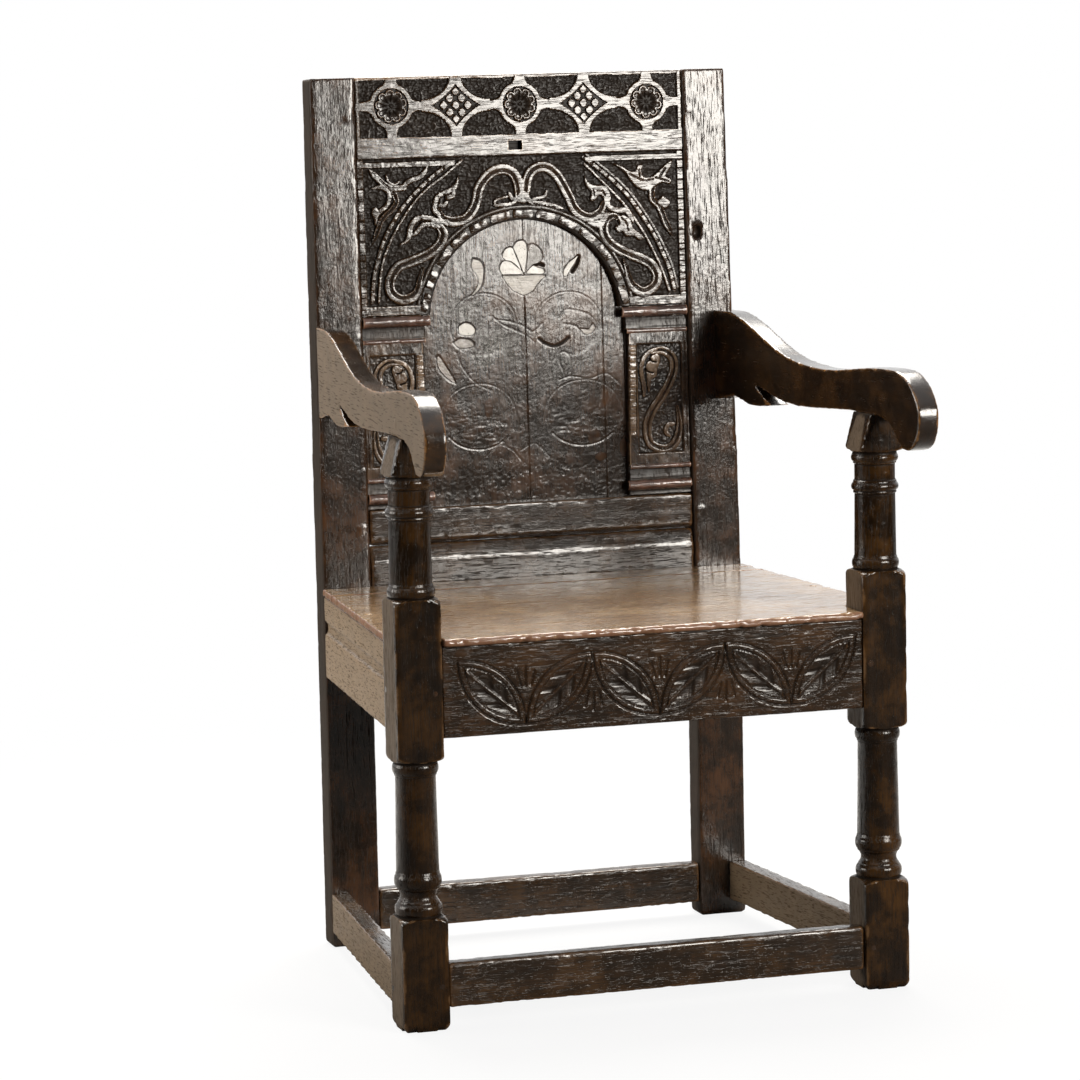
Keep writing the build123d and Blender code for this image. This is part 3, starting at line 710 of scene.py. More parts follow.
        dirt = np.maximum(np.clip((-self.height - 0.5) / ground, 0, 1), self.dirt)
        wear = np.concatenate([ridge.ravel()[used], np.full(count, 0.2)])
        grime = np.concatenate([dirt.ravel()[used], np.full(count, sides)])
        faces = fresh[quads].tolist() + walls + [cap]
        finish_piece(build(name, np.vstack([face, rear]), faces, wear, grime, material), slot, node)


@dataclass(frozen=True)
class Motif:
    """Straps and leaves left standing on a board, and cuts (width, depth and dirt) made in them."""

    straps: tuple[Strap, ...] = ()
    leaves: tuple[Points, ...] = ()
    cuts: tuple[Points, ...] = ()
    cut: tuple[float, ...] = (0.9, 1.4)
    leaf_top: float = 0.0

    def carve(self, face: CarvedFace, side: int = 1) -> None:
        """Carves the motif.

        Args:
            face: the board.
            side: 1, or -1 to mirror it about the middle.
        """
        def mirrored(points: Points) -> Points:
            """Points on the chosen side."""
            return [(side * across, up) for across, up in points]

        for strap in self.straps:
            groove = strap.groove and (side * strap.groove[0], side * strap.groove[1])
            face.strap(replace(strap, points=mirrored(strap.points), groove=groove))
        for leaf in self.leaves:
            face.patch(mirrored(leaf), self.leaf_top)
        for cut in self.cuts:
            face.line(mirrored(cut), *self.cut)


def islands(work: bmesh.types.BMesh) -> list[list[bmesh.types.BMVert]]:
    """Splits a mesh into its separate bodies.

    Args:
        work: the mesh.

    Returns:
        The vertices of each body.
    """
    left, found = set(work.verts), []
    while left:
        body, edge = set(), [next(iter(left))]
        while edge:
            vertex = edge.pop()
            if vertex not in body:
                body.add(vertex)
                edge.extend(link.other_vert(vertex) for link in vertex.link_edges)
        left -= body
        found.append(list(body))
    return found


def with_pegs(mesh: bpy.types.Mesh, node: str) -> None:
    """Fills a member's peg holes with the pegs that stand in them.

    Args:
        mesh: a copy of the member's mesh, which is changed.
        node: its CAD node.
    """
    work = bmesh.new()
    for pegs in ("frame_pegs", "arm_pegs", "seat_pegs"):
        work.from_mesh(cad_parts[pegs].data)
    bmesh.ops.remove_doubles(work, verts=work.verts, dist=1e-6)
    low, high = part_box(node)
    strays = []
    for body in islands(work):
        spots = np.array([tuple(vertex.co) for vertex in body])
        beyond = (spots.min(axis=0) < np.array(low) - 3 * MM) | (spots.max(axis=0) > np.array(high) + 3 * MM)
        if beyond.any():
            strays.extend(body)
    bmesh.ops.delete(work, geom=strays, context="VERTS")
    work.from_mesh(mesh)
    bmesh.ops.remove_doubles(work, verts=work.verts, dist=1e-6)
    work.to_mesh(mesh)
    work.free()


@dataclass(frozen=True)
class Working:
    """How a member was worked and has worn. Millimetres.

    The new mesh has cells of a size (voxel) and is smoothed a number of times (rounds), which rounds
    its edges. Its faces wander by ripple, its edges are chipped by chips and rubbed by rub, out to a
    zone smoothed a number of times (halo). Its faces that look towards dry are made matte and painted
    in a colour that stands for the light falling on that side.
    """

    slot: str
    grain: Grain
    voxel: float = 2.3
    rounds: int = 3
    ripple: float = 0.7
    chips: float = 1.4
    rub: float = 5.5
    halo: int = 3
    dry: tuple[float, float, float] = (0.0, 0.0, 0.0)
    shape: Callable[[np.ndarray], np.ndarray] | None = None

    def fresh_mesh(self, node: str) -> bpy.types.Mesh:
        """Meshes a copy of a CAD node anew, with its peg holes filled.

        Args:
            node: the CAD node.

        Returns:
            A mesh of even cells with eased edges.
        """
        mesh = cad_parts[node].data.copy()
        with_pegs(mesh, node)
        block = new_object(node + "_block", mesh)
        cells = block.modifiers.new("cells", "REMESH")
        cells.mode = "VOXEL"
        cells.voxel_size = self.voxel * MM
        ease = block.modifiers.new("ease", "SMOOTH")
        ease.iterations = self.rounds
        return plain_mesh(block)

    def build(self, node: str, material: bpy.types.Material, seed: int) -> None:
        """Replaces a CAD node by a copy with rubbed edges and hand-worked faces.

        Args:
            node: the CAD node.
            material: its finish.
            seed: picks the unevenness.
        """
        ready = self.fresh_mesh(node)
        count = len(ready.vertices)
        points, normals = np.empty(count * 3), np.empty(count * 3)
        ready.vertices.foreach_get("co", points)
        ready.vertices.foreach_get("normal", normals)
        points, normals = points.reshape(-1, 3), normals.reshape(-1, 3)
        edges = np.empty(len(ready.edges) * 2, int)
        ready.edges.foreach_get("vertices", edges)
        edges = edges.reshape(-1, 2)
        degree = np.maximum(np.bincount(edges.ravel(), minlength=count), 1)

        def around(values: np.ndarray) -> np.ndarray:
            """Mean of each vertex's neighbours."""
            total = np.bincount(edges[:, 0], values[edges[:, 1]], count)
            return (total + np.bincount(edges[:, 1], values[edges[:, 0]], count)) / degree

        pull = np.stack([around(points[:, axis]) - points[:, axis] for axis in range(3)], axis=-1)
        bend = -(pull * normals).sum(axis=1) / (self.voxel * MM)
        for _ in range(2):
            bend = (bend + around(bend)) / 2
        halo = np.clip(bend * self.rub, 0, 1)
        for _ in range(self.halo):
            halo = (halo + around(halo)) / 2
        wear = np.clip(np.clip(bend * self.rub, 0, 1) + halo * 0.8, 0, 1)
        if self.shape:
            points = self.shape(points)
        spots = points / MM
        drawn = spots * self.grain.stretch(0.14)
        wander = lattice_noise(spots / 60, seed) + 0.6 * lattice_noise(drawn / 9, seed + 1)
        nicks = np.clip(lattice_noise(spots / 9, seed + 2) + 0.6 * lattice_noise(spots / 4, seed + 3), 0, 1)
        push = self.ripple * (wander - 1.3) * 0.5 - self.chips * nicks * wear
        points = points + normals * push[:, None] * MM
        ready.vertices.foreach_set("co", points.ravel())
        # faces turned towards dry get the mask for painted side light, which also makes them matte
        store(ready, wear=wear, grime=-bend * 4.0, dry=normals @ np.array(self.dry) * 3 - 1.6)
        ready.materials.clear()
        ready.materials.append(material)
        ready.shade_smooth()
        finish_piece(new_object("worn_" + node, ready), self.slot, node)


@dataclass(frozen=True)
class NodeGroup:
    """A Geometry Nodes tree with named inputs, run once and turned into a mesh."""

    title: str
    inputs: Mapping[str, str]

    def start(self) -> tuple[Tree, dict[str, Value]]:
        """Makes the tree and its sockets.

        Returns:
            The tree and its inputs by name.
        """
        group = bpy.data.node_groups.new(self.title, "GeometryNodeTree")
        group.interface.new_socket("Geometry", in_out="INPUT", socket_type="NodeSocketGeometry")
        group.interface.new_socket("Geometry", in_out="OUTPUT", socket_type="NodeSocketGeometry")
        for name, kind in self.inputs.items():
            group.interface.new_socket(name, in_out="INPUT", socket_type="NodeSocket" + kind)
        tree = Tree(group)
        source = group.nodes.new("NodeGroupInput")
        return tree, {name: Value(tree, source.outputs[name]) for name in ("Geometry", *self.inputs)}

    def close(self, tree: Tree, instances: Value, material: Value, wear: Value | float) -> None:
        """Realizes the instances, gives them their wear and finish and ends the tree.

        Args:
            tree: the tree.
            instances: what it has placed.
            material: the finish.
            wear: how rubbed they are.
        """
        solid = tree.node("GeometryNodeRealizeInstances", None, {"Geometry": instances})
        rubbed = tree.node("GeometryNodeStoreNamedAttribute", {"data_type": "FLOAT", "domain": "POINT"},
                           {"Geometry": solid, "Name": "wear", "Value": wear})
        dressed = tree.node("GeometryNodeSetMaterial", None, {"Geometry": rubbed, "Material": material})
        output = tree.tree.nodes.new("NodeGroupOutput")
        tree.tree.links.new(dressed.socket, output.inputs["Geometry"])

    def run(self, tree: Tree, name: str, base: bpy.types.Mesh, values: Mapping[str, Any]) -> bpy.types.Object:
        """Runs the tree on a mesh.

        Args:
            tree: the finished tree.
            name: name of the piece.
            base: the mesh that it starts from.
            values: the inputs by name.

        Returns:
            The piece as a plain mesh.
        """
        carrier = new_object(name + "_base", base)
        modifier = carrier.modifiers.new("nodes", "NODES")
        modifier.node_group = tree.tree
        for item in tree.tree.interface.items_tree:
            if item.in_out == "INPUT" and item.name in values:
                modifier[item.identifier] = values[item.name]
        ready = plain_mesh(carrier)
        ready.shade_smooth()
        ready.set_sharp_from_angle(angle=SHARP)
        return new_object(name, ready)


@dataclass(frozen=True)
class BlockRow:
    """Small pillow-shaped blocks along a line, in millimetres."""

    count: int
    size: tuple[float, float, float]
    jitter: float
    seed: int = 1
    wear: float = 0.5
    uneven: float = 1.0

    def build(self, name: str, line: np.ndarray, depth: float, material: bpy.types.Material) -> None:
        """Sets the blocks.

        Args:
            name: the piece's name.
            line: (across, up) points of the line.
            depth: depth of the blocks' middle.
            material: their finish.
        """
        group = NodeGroup("block_row", {"Count": "Int", "Size": "Vector", "Jitter": "Float", "Seed": "Int",
                                        "Facing": "Vector", "Wear": "Float", "Uneven": "Float",
                                        "Material": "Material"})
        tree, given = group.start()
        curve = tree.node("GeometryNodeMeshToCurve", None, {"Mesh": given["Geometry"]})
        spread = tree.node("GeometryNodeResampleCurve", {"mode": "COUNT"},
                           {"Curve": curve, "Count": given["Count"]})
        along = tree.node("GeometryNodeInputTangent")
        turned = tree.node("FunctionNodeAlignRotationToVector", {"axis": "X"}, {"Vector": along})
        facing = tree.node("FunctionNodeAlignRotationToVector", {"axis": "Z", "pivot_axis": "X"},
                           {"Rotation": turned, "Vector": given["Facing"]})
        chance = tree.node("FunctionNodeRandomValue", {"data_type": "FLOAT"},
                           {2: -1.0, 3: 1.0, "Seed": given["Seed"]}, output=1)
        share = chance * given["Jitter"] + 1.0
        scale = tree.vector("SCALE", {0: given["Size"], "Scale": share})
        cube = tree.node("GeometryNodeMeshCube", None,
                         {"Size": (1.0, 1.0, 1.0), "Vertices X": 5, "Vertices Y": 2, "Vertices Z": 2})
        pillow = tree.node("GeometryNodeSubdivisionSurface", None,
                           {"Mesh": cube, "Level": 1, "Edge Crease": 0.85})
        placed = tree.node("GeometryNodeInstanceOnPoints", None,
                           {"Points": spread, "Instance": pillow, "Rotation": facing, "Scale": scale})
        solid = tree.node("GeometryNodeRealizeInstances", None, {"Geometry": placed})
        bumps = tree.node("ShaderNodeTexNoise", None, {"Scale": 190.0, "Detail": 1.0})
        push = tree.vector("SCALE", {0: given["Facing"], "Scale": (bumps - 0.62) * given["Uneven"]})
        hewn = tree.node("GeometryNodeSetPosition", None, {"Geometry": solid, "Offset": push})
        group.close(tree, hewn, given["Material"], given["Wear"])
        base = bpy.data.meshes.new(name)
        points = PLANES.on_back(line[:, 0], np.full(len(line), depth), line[:, 1])
        base.from_pydata(points.tolist(), [(i, i + 1) for i in range(len(line) - 1)], [])
        facing_way = (0.0, -math.cos(PLANES.lean), math.sin(PLANES.lean))
        piece = group.run(tree, name, base, {
            "Count": self.count, "Size": tuple(side * MM for side in self.size), "Jitter": self.jitter,
            "Seed": self.seed, "Facing": facing_way, "Wear": self.wear, "Uneven": self.uneven * MM,
            "Material": material})
        finish_piece(piece, "panel_oak")


@dataclass(frozen=True)
class PegHeads:
    """Hand-cleft heads of the drawbore pegs, where the solid pegs end."""

    node: str
    radius: float = 3.9
    height: float = 1.6
    sunk: float = 0.5
    sides: int = 9
    seed: int = 3

    def ends(self) -> tuple[list[Vector], list[Vector]]:
        """Finds each solid peg's outer end.

        Returns:
            The ends and the ways that they face.
        """
        work = bmesh.new()
        work.from_mesh(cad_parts[self.node].data)
        bmesh.ops.remove_doubles(work, verts=work.verts, dist=1e-6)
        ends, ways = [], []
        for island in islands(work):
            spots = np.array([tuple(vertex.co) for vertex in island])
            size = np.ptp(spots, axis=0)
            axis = int(np.argmax(size))
            middle = (spots.max(axis=0) + spots.min(axis=0)) / 2
            sign = (np.sign(middle[0]), -1, 1)[axis]
            tip = middle.copy()
            tip[axis] = (spots[:, axis] * sign).max() * sign
            near = spots[np.abs(spots[:, axis] - tip[axis]) < 0.6 * MM]
            tip[:axis] = near[:, :axis].mean(axis=0)
            tip[axis + 1:] = near[:, axis + 1:].mean(axis=0)
            ends.append(Vector(tip))
            ways.append(Vector([sign if index == axis else 0 for index in range(3)]))
        work.free()
        order = sorted(range(len(ends)), key=lambda index: tuple(round(value, 4) for value in ends[index]))
        return [ends[index] for index in order], [ways[index] for index in order]

    def build(self, material: bpy.types.Material) -> None:
        """Sets the heads.

        Args:
            material: their finish.
        """
        group = NodeGroup("peg_heads", {"Radius": "Float", "Height": "Float", "Sides": "Int", "Seed": "Int",
                                        "Material": "Material"})
        tree, given = group.start()
        facing = tree.node("GeometryNodeInputNamedAttribute", {"data_type": "FLOAT_VECTOR"}, {"Name": "way"})
        turned = tree.node("FunctionNodeAlignRotationToVector", {"axis": "Z"}, {"Vector": facing})
        spin = tree.node("FunctionNodeRandomValue", {"data_type": "FLOAT"},
                         {2: 0.0, 3: 6.28, "Seed": given["Seed"]}, output=1)
        around = tree.node("ShaderNodeCombineXYZ", None, {"Z": spin})
        local = tree.node("FunctionNodeEulerToRotation", None, {"Euler": around})
        both = tree.node("FunctionNodeRotateRotation", {"rotation_space": "LOCAL"},
                         {"Rotation": turned, "Rotate By": local})
        stub = tree.node("GeometryNodeMeshCylinder", {"fill_type": "TRIANGLE_FAN"},
                         {"Vertices": given["Sides"], "Radius": given["Radius"], "Depth": given["Height"]})
        place = tree.node("GeometryNodeInputPosition")
        flat = tree.vector("MULTIPLY", {0: place, 1: (1, 1, 0)})
        away = tree.vector("LENGTH", {0: flat}, "Value")
        droop = tree.axis(place, "Z").math("SIGN") * away * -0.10
        lower = tree.node("ShaderNodeCombineXYZ", None, {"Z": droop})
        domed = tree.node("GeometryNodeSetPosition", None, {"Geometry": stub, "Offset": lower})
        placed = tree.node("GeometryNodeInstanceOnPoints", None,
                           {"Points": given["Geometry"], "Instance": domed, "Rotation": both})
        group.close(tree, placed, given["Material"], 0.2)
        ends, ways = self.ends()
        base = bpy.data.meshes.new(self.node + "_ends")
        sink = (self.height / 2 + self.sunk) * MM
        base.from_pydata([tuple(end - way * sink) for end, way in zip(ends, ways)], [], [])
        layer = base.attributes.new("way", "FLOAT_VECTOR", "POINT")
        layer.data.foreach_set("vector", np.array([tuple(way) for way in ways], np.float32).ravel())
        piece = group.run(tree, self.node + "_heads", base, {
            "Radius": self.radius * MM, "Height": self.height * MM, "Sides": self.sides,
            "Seed": self.seed, "Material": material})
        finish_piece(piece, "peg_oak", self.node)


# ---- the back -------------------------------------------------------------------------
@dataclass
class CrestRail:
    """The top rail, carved with rosettes and lozenges joined by straps. Millimetres."""

    finish: OakFinish
    low: float = 510.0
    high: float = 608.0
    half_width: float = 206.0
    front: float = 3.0
    back: float = 31.0
    band_top: float = 535.5
    middle: float = 571.5
    droop: float = 0.009
    pitch: float = 80.5
    depth: float = 3.0
    ring: tuple[float, float] = (21.4, 26.5)
    flare: float = 4.0
    fillet: float = 4.0
    strap_half: float = 4.8
    upright_half: float = 5.6
    petals: int = 9
    petal_half: float = 4.7
    petal_reach: float = 14.6
    slope: float = 2.4
    bay: tuple[float, float] = (43.0, 36.0)
    bay_radii: tuple[float, float] = (36.4, 29.4)
    star: tuple[float, float] = (31.0, 25.5)
    star_field: tuple[float, float] = (27.0, 22.0)
    star_cells: tuple[float, float] = (15.0, 17.0)
    rosette_zone: float = 45.0
    pocket_at: tuple[float, float] = (-7.5, 12.5)
    pocket_half: tuple[float, float] = (8.5, 5.5)
    pocket_depth: float = 9.0

    def build(self) -> None:
        """Carves the rail."""
        face = CarvedFace((-self.half_width, self.low), (self.half_width, self.high), 0.67)
        x, v = face.across, face.up - self.middle + self.droop * face.across
        stipple = 0.55 * face.punched(1.9, 3) + 0.35 * face.punched(4.2, 4)
        face.height[:] = np.where(face.up < self.band_top, 0.0, -self.depth + stipple)
        face.raise_to(0.0, face.up < self.band_top + 0.1 * face.noise((9, 9), 5))
        face.raise_to(-self.slope * np.maximum(np.abs(v) - self.strap_half, 0))
        face.raise_to(-self.slope * np.maximum(self.half_width - 5 - np.abs(x), 0))
        face.raise_to(-0.2, face.up > self.high - self.fillet + 0.4 * face.noise((14, 9), 6))
        for index in range(-2, 3):
            centre = index * self.pitch
            face.raise_to(-self.slope * np.maximum(np.abs(x - centre) - self.upright_half, 0))
            if index % 2:
                self.lozenge(face, x - centre, v)
            else:
                self.rosette(face, x - centre, v, index)
        face.height = face.height + 0.10 * face.noise((40, 6), 7) + 0.06 * face.noise((9, 2), 8)
        pocket = (np.abs(x - self.pocket_at[0]) < self.pocket_half[0]) \
            & (np.abs(face.up - self.low - self.pocket_at[1]) < self.pocket_half[1])
        face.height = np.where(pocket, -self.pocket_depth, face.height)
        # the top fillet is painted rubbed, fading to the right: partly wear, partly a painted highlight
        # standing for the lit top face
        face.rubbed = np.where(face.up > self.high - self.fillet, 0.55 - 0.002 * face.across, 0.0)
        face.round_arris(1.6, 9)
        face.solid("carved_crest_rail", PLANES.on_back, (self.front, self.back), self.finish.material(),
                   "frame_oak", "crest_rail")

    def lozenge(self, face: CarvedFace, x: np.ndarray, v: np.ndarray) -> None:
        """Carves a hollow-sided lozenge.

        Args:
            face: the rail.
            x: distance from the lozenge's middle, across.
            v: distance from its middle, up.
        """
        (bay_x, bay_v), (radius_x, radius_v) = self.bay, self.bay_radii
        corner = np.hypot((np.abs(x) - bay_x) / radius_x, (np.abs(v) - bay_v) / radius_v)
        near = (np.abs(x) < bay_x) & (np.abs(v) < bay_v + 1)
        face.raise_to(-self.slope * np.maximum((1 - corner) * 32, 0), near)
        star = (np.abs(x) / self.star[0]) ** 0.86 + (np.abs(v) / self.star[1]) ** 0.86
        inner = (np.abs(x) / self.star_field[0]) ** 0.88 + (np.abs(v) / self.star_field[1]) ** 0.88
        cell_x, cell_v = x / self.star_cells[0], v / self.star_cells[1]
        first, second = cell_x + cell_v, cell_x - cell_v
        lobes = 2.4 * np.clip(6.0 * np.abs(np.cos(np.pi * first) * np.cos(np.pi * second)) - 1.4, 0, 1)
        inside = np.where(inner < 1, lobes - 2.7, -2.8)
        face.height = np.where(star < 1, np.minimum(face.height, inside), face.height)
        face.dirt = np.where((star < 1) & (face.height < -1.3), 0.95, face.dirt)

    def rosette(self, face: CarvedFace, x: np.ndarray, v: np.ndarray, index: int) -> None:
        """Carves a ring round a flower of petals.

        Args:
            face: the rail.
            x: distance from the rosette's middle, across.
            v: distance from its middle, up.
            index: place in the row, which turns the flower.
        """
        reach, turn = np.hypot(x, v), np.arctan2(v, x)
        fan = math.pi / self.petals
        off = (turn + index) % (2 * fan) - fan
        along, aside = reach * np.cos(off), np.abs(reach * np.sin(off))
        half = self.petal_half * np.clip(along / self.petal_reach, 0.05, 1)
        edge = np.where(along > self.petal_reach, np.hypot(aside, along - self.petal_reach) - self.petal_half,
                        aside - half)
        rim = -0.15 - 1.5 * np.clip((13.5 - reach) / 6, 0, 1)
        petal = rim - 1.7 * np.clip((-edge - 1.3) / 1.2, 0, 1) * np.clip(1.5 - along / 19, 0.3, 1)
        petal = np.where(edge > 0.4, -0.15 - 2.8 * np.clip((edge - 0.4) / 0.8, 0, 1), petal)
        petal = np.where(reach < 2.6, -1.2 - 0.15 * reach ** 2, petal)
        flare = self.flare * np.exp(-np.maximum(reach - self.ring[1], 0) / 3.5)
        strap = np.minimum(np.abs(v) - self.strap_half, np.abs(x) - self.upright_half)
        face.raise_to(-self.slope * np.maximum(strap - flare, 0), reach < self.rosette_zone)
        face.raise_to(-3.0 * np.maximum(reach - self.ring[1], 0))
        inside = reach < self.ring[0]
        face.height = np.where(inside, np.maximum(petal, -3.0), face.height)
        # the petals' hollows darken towards the middle: partly dirt, partly painted shade
        face.dirt = np.where(inside, 0.95 * np.clip((14.5 - reach) / 5, 0, 1), face.dirt)


@dataclass
class ArchBoard:
    """The board over the panel, carved with scrolls round its arch. Millimetres."""

    finish: OakFinish
    low: float = 322.4
    high: float = 509.9
    half_width: float = 205.8
    front: float = 4.0
    back: float = 17.0
    radius: float = 121.0
    spring: float = 311.4
    depth: float = 3.4
    margin: float = 7.4
    lip: float = 133.6
    rim_ridge: float = 136.6
    block_radius: float = 128.0
    blocks: int = 13
    block_size: tuple[float, float, float] = (25.0, 10.0, 4.6)
    arc_notches: int = 16
    block_pitches: tuple[float, float] = (12.5, 7.5)
    block_change: float = 400.0
    top_fillet: tuple[float, float] = (6.6, 2.9)
    top_from: float = 84.0
    foot_fillet: tuple[float, float] = (6.5, 5.0)
    left_arcs: tuple[Points, Points] = (
        ((-87, 504), (-108, 491), (-128, 475), (-149, 454), (-164, 433), (-176, 411), (-184, 388),
         (-189, 369), (-192, 340)),
        ((-75, 506), (-98, 488), (-116, 476), (-135, 459), (-151, 438), (-166, 414), (-176, 391), (-181, 369),
         (-184, 340)))
    right_arcs: tuple[Points, Points] = (
        ((79, 505), (106, 484), (133, 458), (157, 424), (168, 405), (177, 386), (185, 366), (191, 340)),
        ((80, 497), (97, 480), (113, 464), (128, 448), (142, 429), (154, 410), (165, 389), (175, 367),
         (184, 340)))
    motifs: tuple[Motif, ...] = (
        Motif(
            straps=(
                Strap(((-3, 459), (-5, 477), (-11, 489), (-22, 494), (-35, 492), (-46, 484), (-55, 471),
                      (-58, 457), (-65, 443), (-75, 435), (-90, 433), (-101, 437), (-107, 447)),
                      SCROLL_WIDTH, groove=(0.38, -0.30), end=0.6),
                Strap(((-115, 431), (-106, 428), (-101, 418), (-107, 405), (-121, 395), (-139, 388),
                      (-157, 382), (-166, 372), (-170, 360), (-167, 349), (-156, 342), (-143, 344),
                      (-135, 352), (-132, 365), (-128, 378)), SCROLL_WIDTH, groove=(-0.25, 0.42), start=0.5,
                      end=0.25),
                Strap(((-106, 442), (-111, 447), (-110, 455), (-107, 463), (-100, 467), (-90, 471),
                      (-83, 477), (-80, 487)), 6.0, end=0.15),
                Strap(((-94, 462), (-88, 464), (-86, 469)), 6.0, end=0.5),
                Strap(((-104, 453), (-99, 453), (-95, 457)), 5.0, end=0.5),
                Strap(((-2, 464), (-10, 454), (-22, 451), (-37, 451)), 4.6, end=0.3),
                Strap(((-5, 457), (-13, 458), (-17, 466)), 5.0, start=0.6, end=0.3),
                Strap(((-34, 450), (-35, 456), (-27, 459), (-17, 461)), 2.6, end=0.4),
                Strap(((-96, 433), (-106, 434), (-118, 438), (-130, 439), (-138, 434), (-142, 426),
                      (-144, 417), (-148, 411), (-156, 408)), 6.4, end=0.15),
                Strap(((-106, 427), (-121, 431), (-128, 429), (-134, 422), (-141, 418)), 5.6, start=0.5,
                      end=0.4)),
            cuts=(((-128, 437), (-131, 430)), ((-99, 466), (-96, 461))),
            cut=(0.9, 1.4)),
        Motif(
            straps=(
                Strap(((1, 458), (4, 468), (6, 480), (12, 490), (22, 495), (33, 494), (44, 485), (52, 472),
                      (59, 458), (65, 444), (75, 435), (87, 432), (98, 438), (103, 448)), SCROLL_WIDTH,
                      groove=(0.0, 0.30), end=0.6),
                Strap(((120, 431), (114, 433), (107, 430), (103, 424), (102, 414), (108, 402), (121, 392),
                      (136, 385), (151, 379), (163, 371), (169, 358), (165, 346), (151, 339), (138, 346),
                      (132, 357), (130, 368), (127, 379)), SCROLL_WIDTH, groove=(0.10, -0.42), start=0.5,
                      end=0.25),
                Strap(((106, 452), (110, 444), (119, 440), (131, 439), (136, 433), (140, 424)), 6.4,
                      end=0.3),
                Strap(((2, 464), (11, 453), (25, 451), (37, 448), (51, 444)), 6.0, end=0.3),
                Strap(((11, 456), (21, 458), (28, 460), (31, 467)), 4.4, start=0.4, end=0.3)),
            leaves=(
                ((80, 483), (83, 476), (90, 471), (103, 470), (110, 463), (112, 454), (107, 446),
                 (103, 455), (98, 459), (92, 453), (86, 453), (88, 463), (83, 468), (80, 475)),
                ((80, 426), (87, 421), (100, 419), (107, 429), (110, 437), (102, 436), (96, 428),
                 (87, 428)),
                ((119, 432), (129, 433), (137, 426), (139, 418), (146, 412), (154, 405), (147, 403),
                 (140, 408), (131, 408), (126, 414), (121, 413), (117, 419), (123, 423))),
            cuts=(((95, 464), (101, 464), (105, 458)), ((90, 466), (91, 459)), ((125, 430), (131, 424),
                  (133, 415)), ((14, 451), (26, 448), (40, 446))),
            cut=(0.9, 1.5)),
        Motif(
            straps=(
                Strap(((-191, 499), (-181, 488), (-171, 479), (-160, 475), (-148, 476)), 7.0, start=0.15),
                Strap(((-150, 475), (-142, 483), (-130, 487), (-123, 492), (-118, 501)), 6.0, end=0.2),
                Strap(((-170, 492), (-167, 483), (-159, 480), (-152, 485)), 2.8, start=0.4, end=0.4),
                Strap(((-188, 476), (-177, 477), (-168, 471), (-167, 462), (-171, 454), (-178, 449),
                      (-183, 443), (-185, 433)), 5.0, start=0.3, end=0.4),
                Strap(((-162, 473), (-158, 460), (-163, 451), (-171, 444), (-178, 436), (-183, 424),
                      (-190, 408)), 6.4, groove=(-0.1, -0.1), end=0.15)),
            leaves=(
                ((-188, 452), (-183, 453), (-180, 446), (-185, 440), (-189, 445)),),
            cuts=(((-178, 486), (-168, 476)),),
            cut=(0.9, 1.4)),
        Motif(
            straps=(
                Strap(((167, 470), (165, 460), (166, 451), (173, 444), (177, 436), (181, 425), (185, 417),
                      (190, 407)), 7.6, groove=(0.25, 0.25), end=0.3),),
            leaves=(
                ((117, 496), (127, 493), (136, 487), (145, 486), (148, 493), (154, 493), (152, 486),
                 (155, 479), (164, 478), (171, 481), (166, 465), (156, 463), (146, 467), (138, 476),
                 (130, 487)),
                ((165, 478), (173, 484), (181, 491), (192, 498), (188, 487), (183, 479), (190, 475),
                 (188, 470), (180, 472), (172, 469), (165, 466)),
                ((179, 455), (188, 448), (182, 440), (172, 447))),
            cuts=(((137, 483), (145, 479), (155, 475), (167, 476)), ((176, 479), (183, 489)), ((170, 478),
                  (180, 475), (187, 473)), ((150, 480), (149, 488))),
            cut=(1.1, 1.6)))

    def build(self) -> None:
        """Carves the board and sets the blocks along its arch."""
        face = CarvedFace((-self.half_width, self.low), (self.half_width, self.high), 0.77)
        reach = np.hypot(face.across, face.up - self.spring)
        stipple = 0.50 * face.punched(2.0, 13) + 0.35 * face.punched(4.4, 14)
        face.height[:] = -self.depth + stipple
        self.margins(face, reach)
        for side, (outer, inner) in ((-1, self.left_arcs), (1, self.right_arcs)):
            _, share, _ = face.distance(smooth_path(outer))
            notched = -1.7 * np.clip(np.cos(share * self.arc_notches * 2 * math.pi) * 5 - 4.0, 0, 1)
            if side > 0:
                face.strap(Strap([(a + 4.2, b + 3.4) for a, b in outer], 3.2), -1.7)
            face.strap(Strap(outer, 4.6), notched)
            face.strap(Strap(inner, 3.0), -0.3)
        for motif in self.motifs:
            motif.carve(face)
        roll = np.clip(0.40 - (reach - self.radius) / (self.lip - self.radius), 0, 1)
        face.height = np.where(reach < self.lip, -2.4 - 3.0 * roll ** 1.3, face.height)
        off = np.abs(reach - self.rim_ridge)
        face.raise_to(-0.9 - 0.10 * off ** 2 - 3 * np.maximum(off - 2.2, 0))
        face.dirt = np.where(off < 3, 0.45, face.dirt)
        face.height = face.height + 0.10 * face.noise((7, 7), 17) + 0.05 * face.noise((2.5, 2.5), 18)
        face.round_arris(0.9, 19)
        material = self.finish.material()
        face.solid("carved_arch_board", PLANES.on_back, (self.front, self.back), material, "panel_oak",
                   "arch_board", hole=(0.0, self.spring, self.radius), ground=3.4)
        start = math.asin((self.low - self.spring) / self.block_radius)
        turns = np.linspace(start, math.pi - start, 2 * self.blocks + 1)[1:-1]
        arch = np.stack([self.block_radius * np.cos(turns),
                         self.spring + self.block_radius * np.sin(turns)], axis=-1)
        row = BlockRow(self.blocks, self.block_size, 0.05, wear=0.3, uneven=4.2)
        row.build("arch_blocks", arch, self.front + 2.1, material)

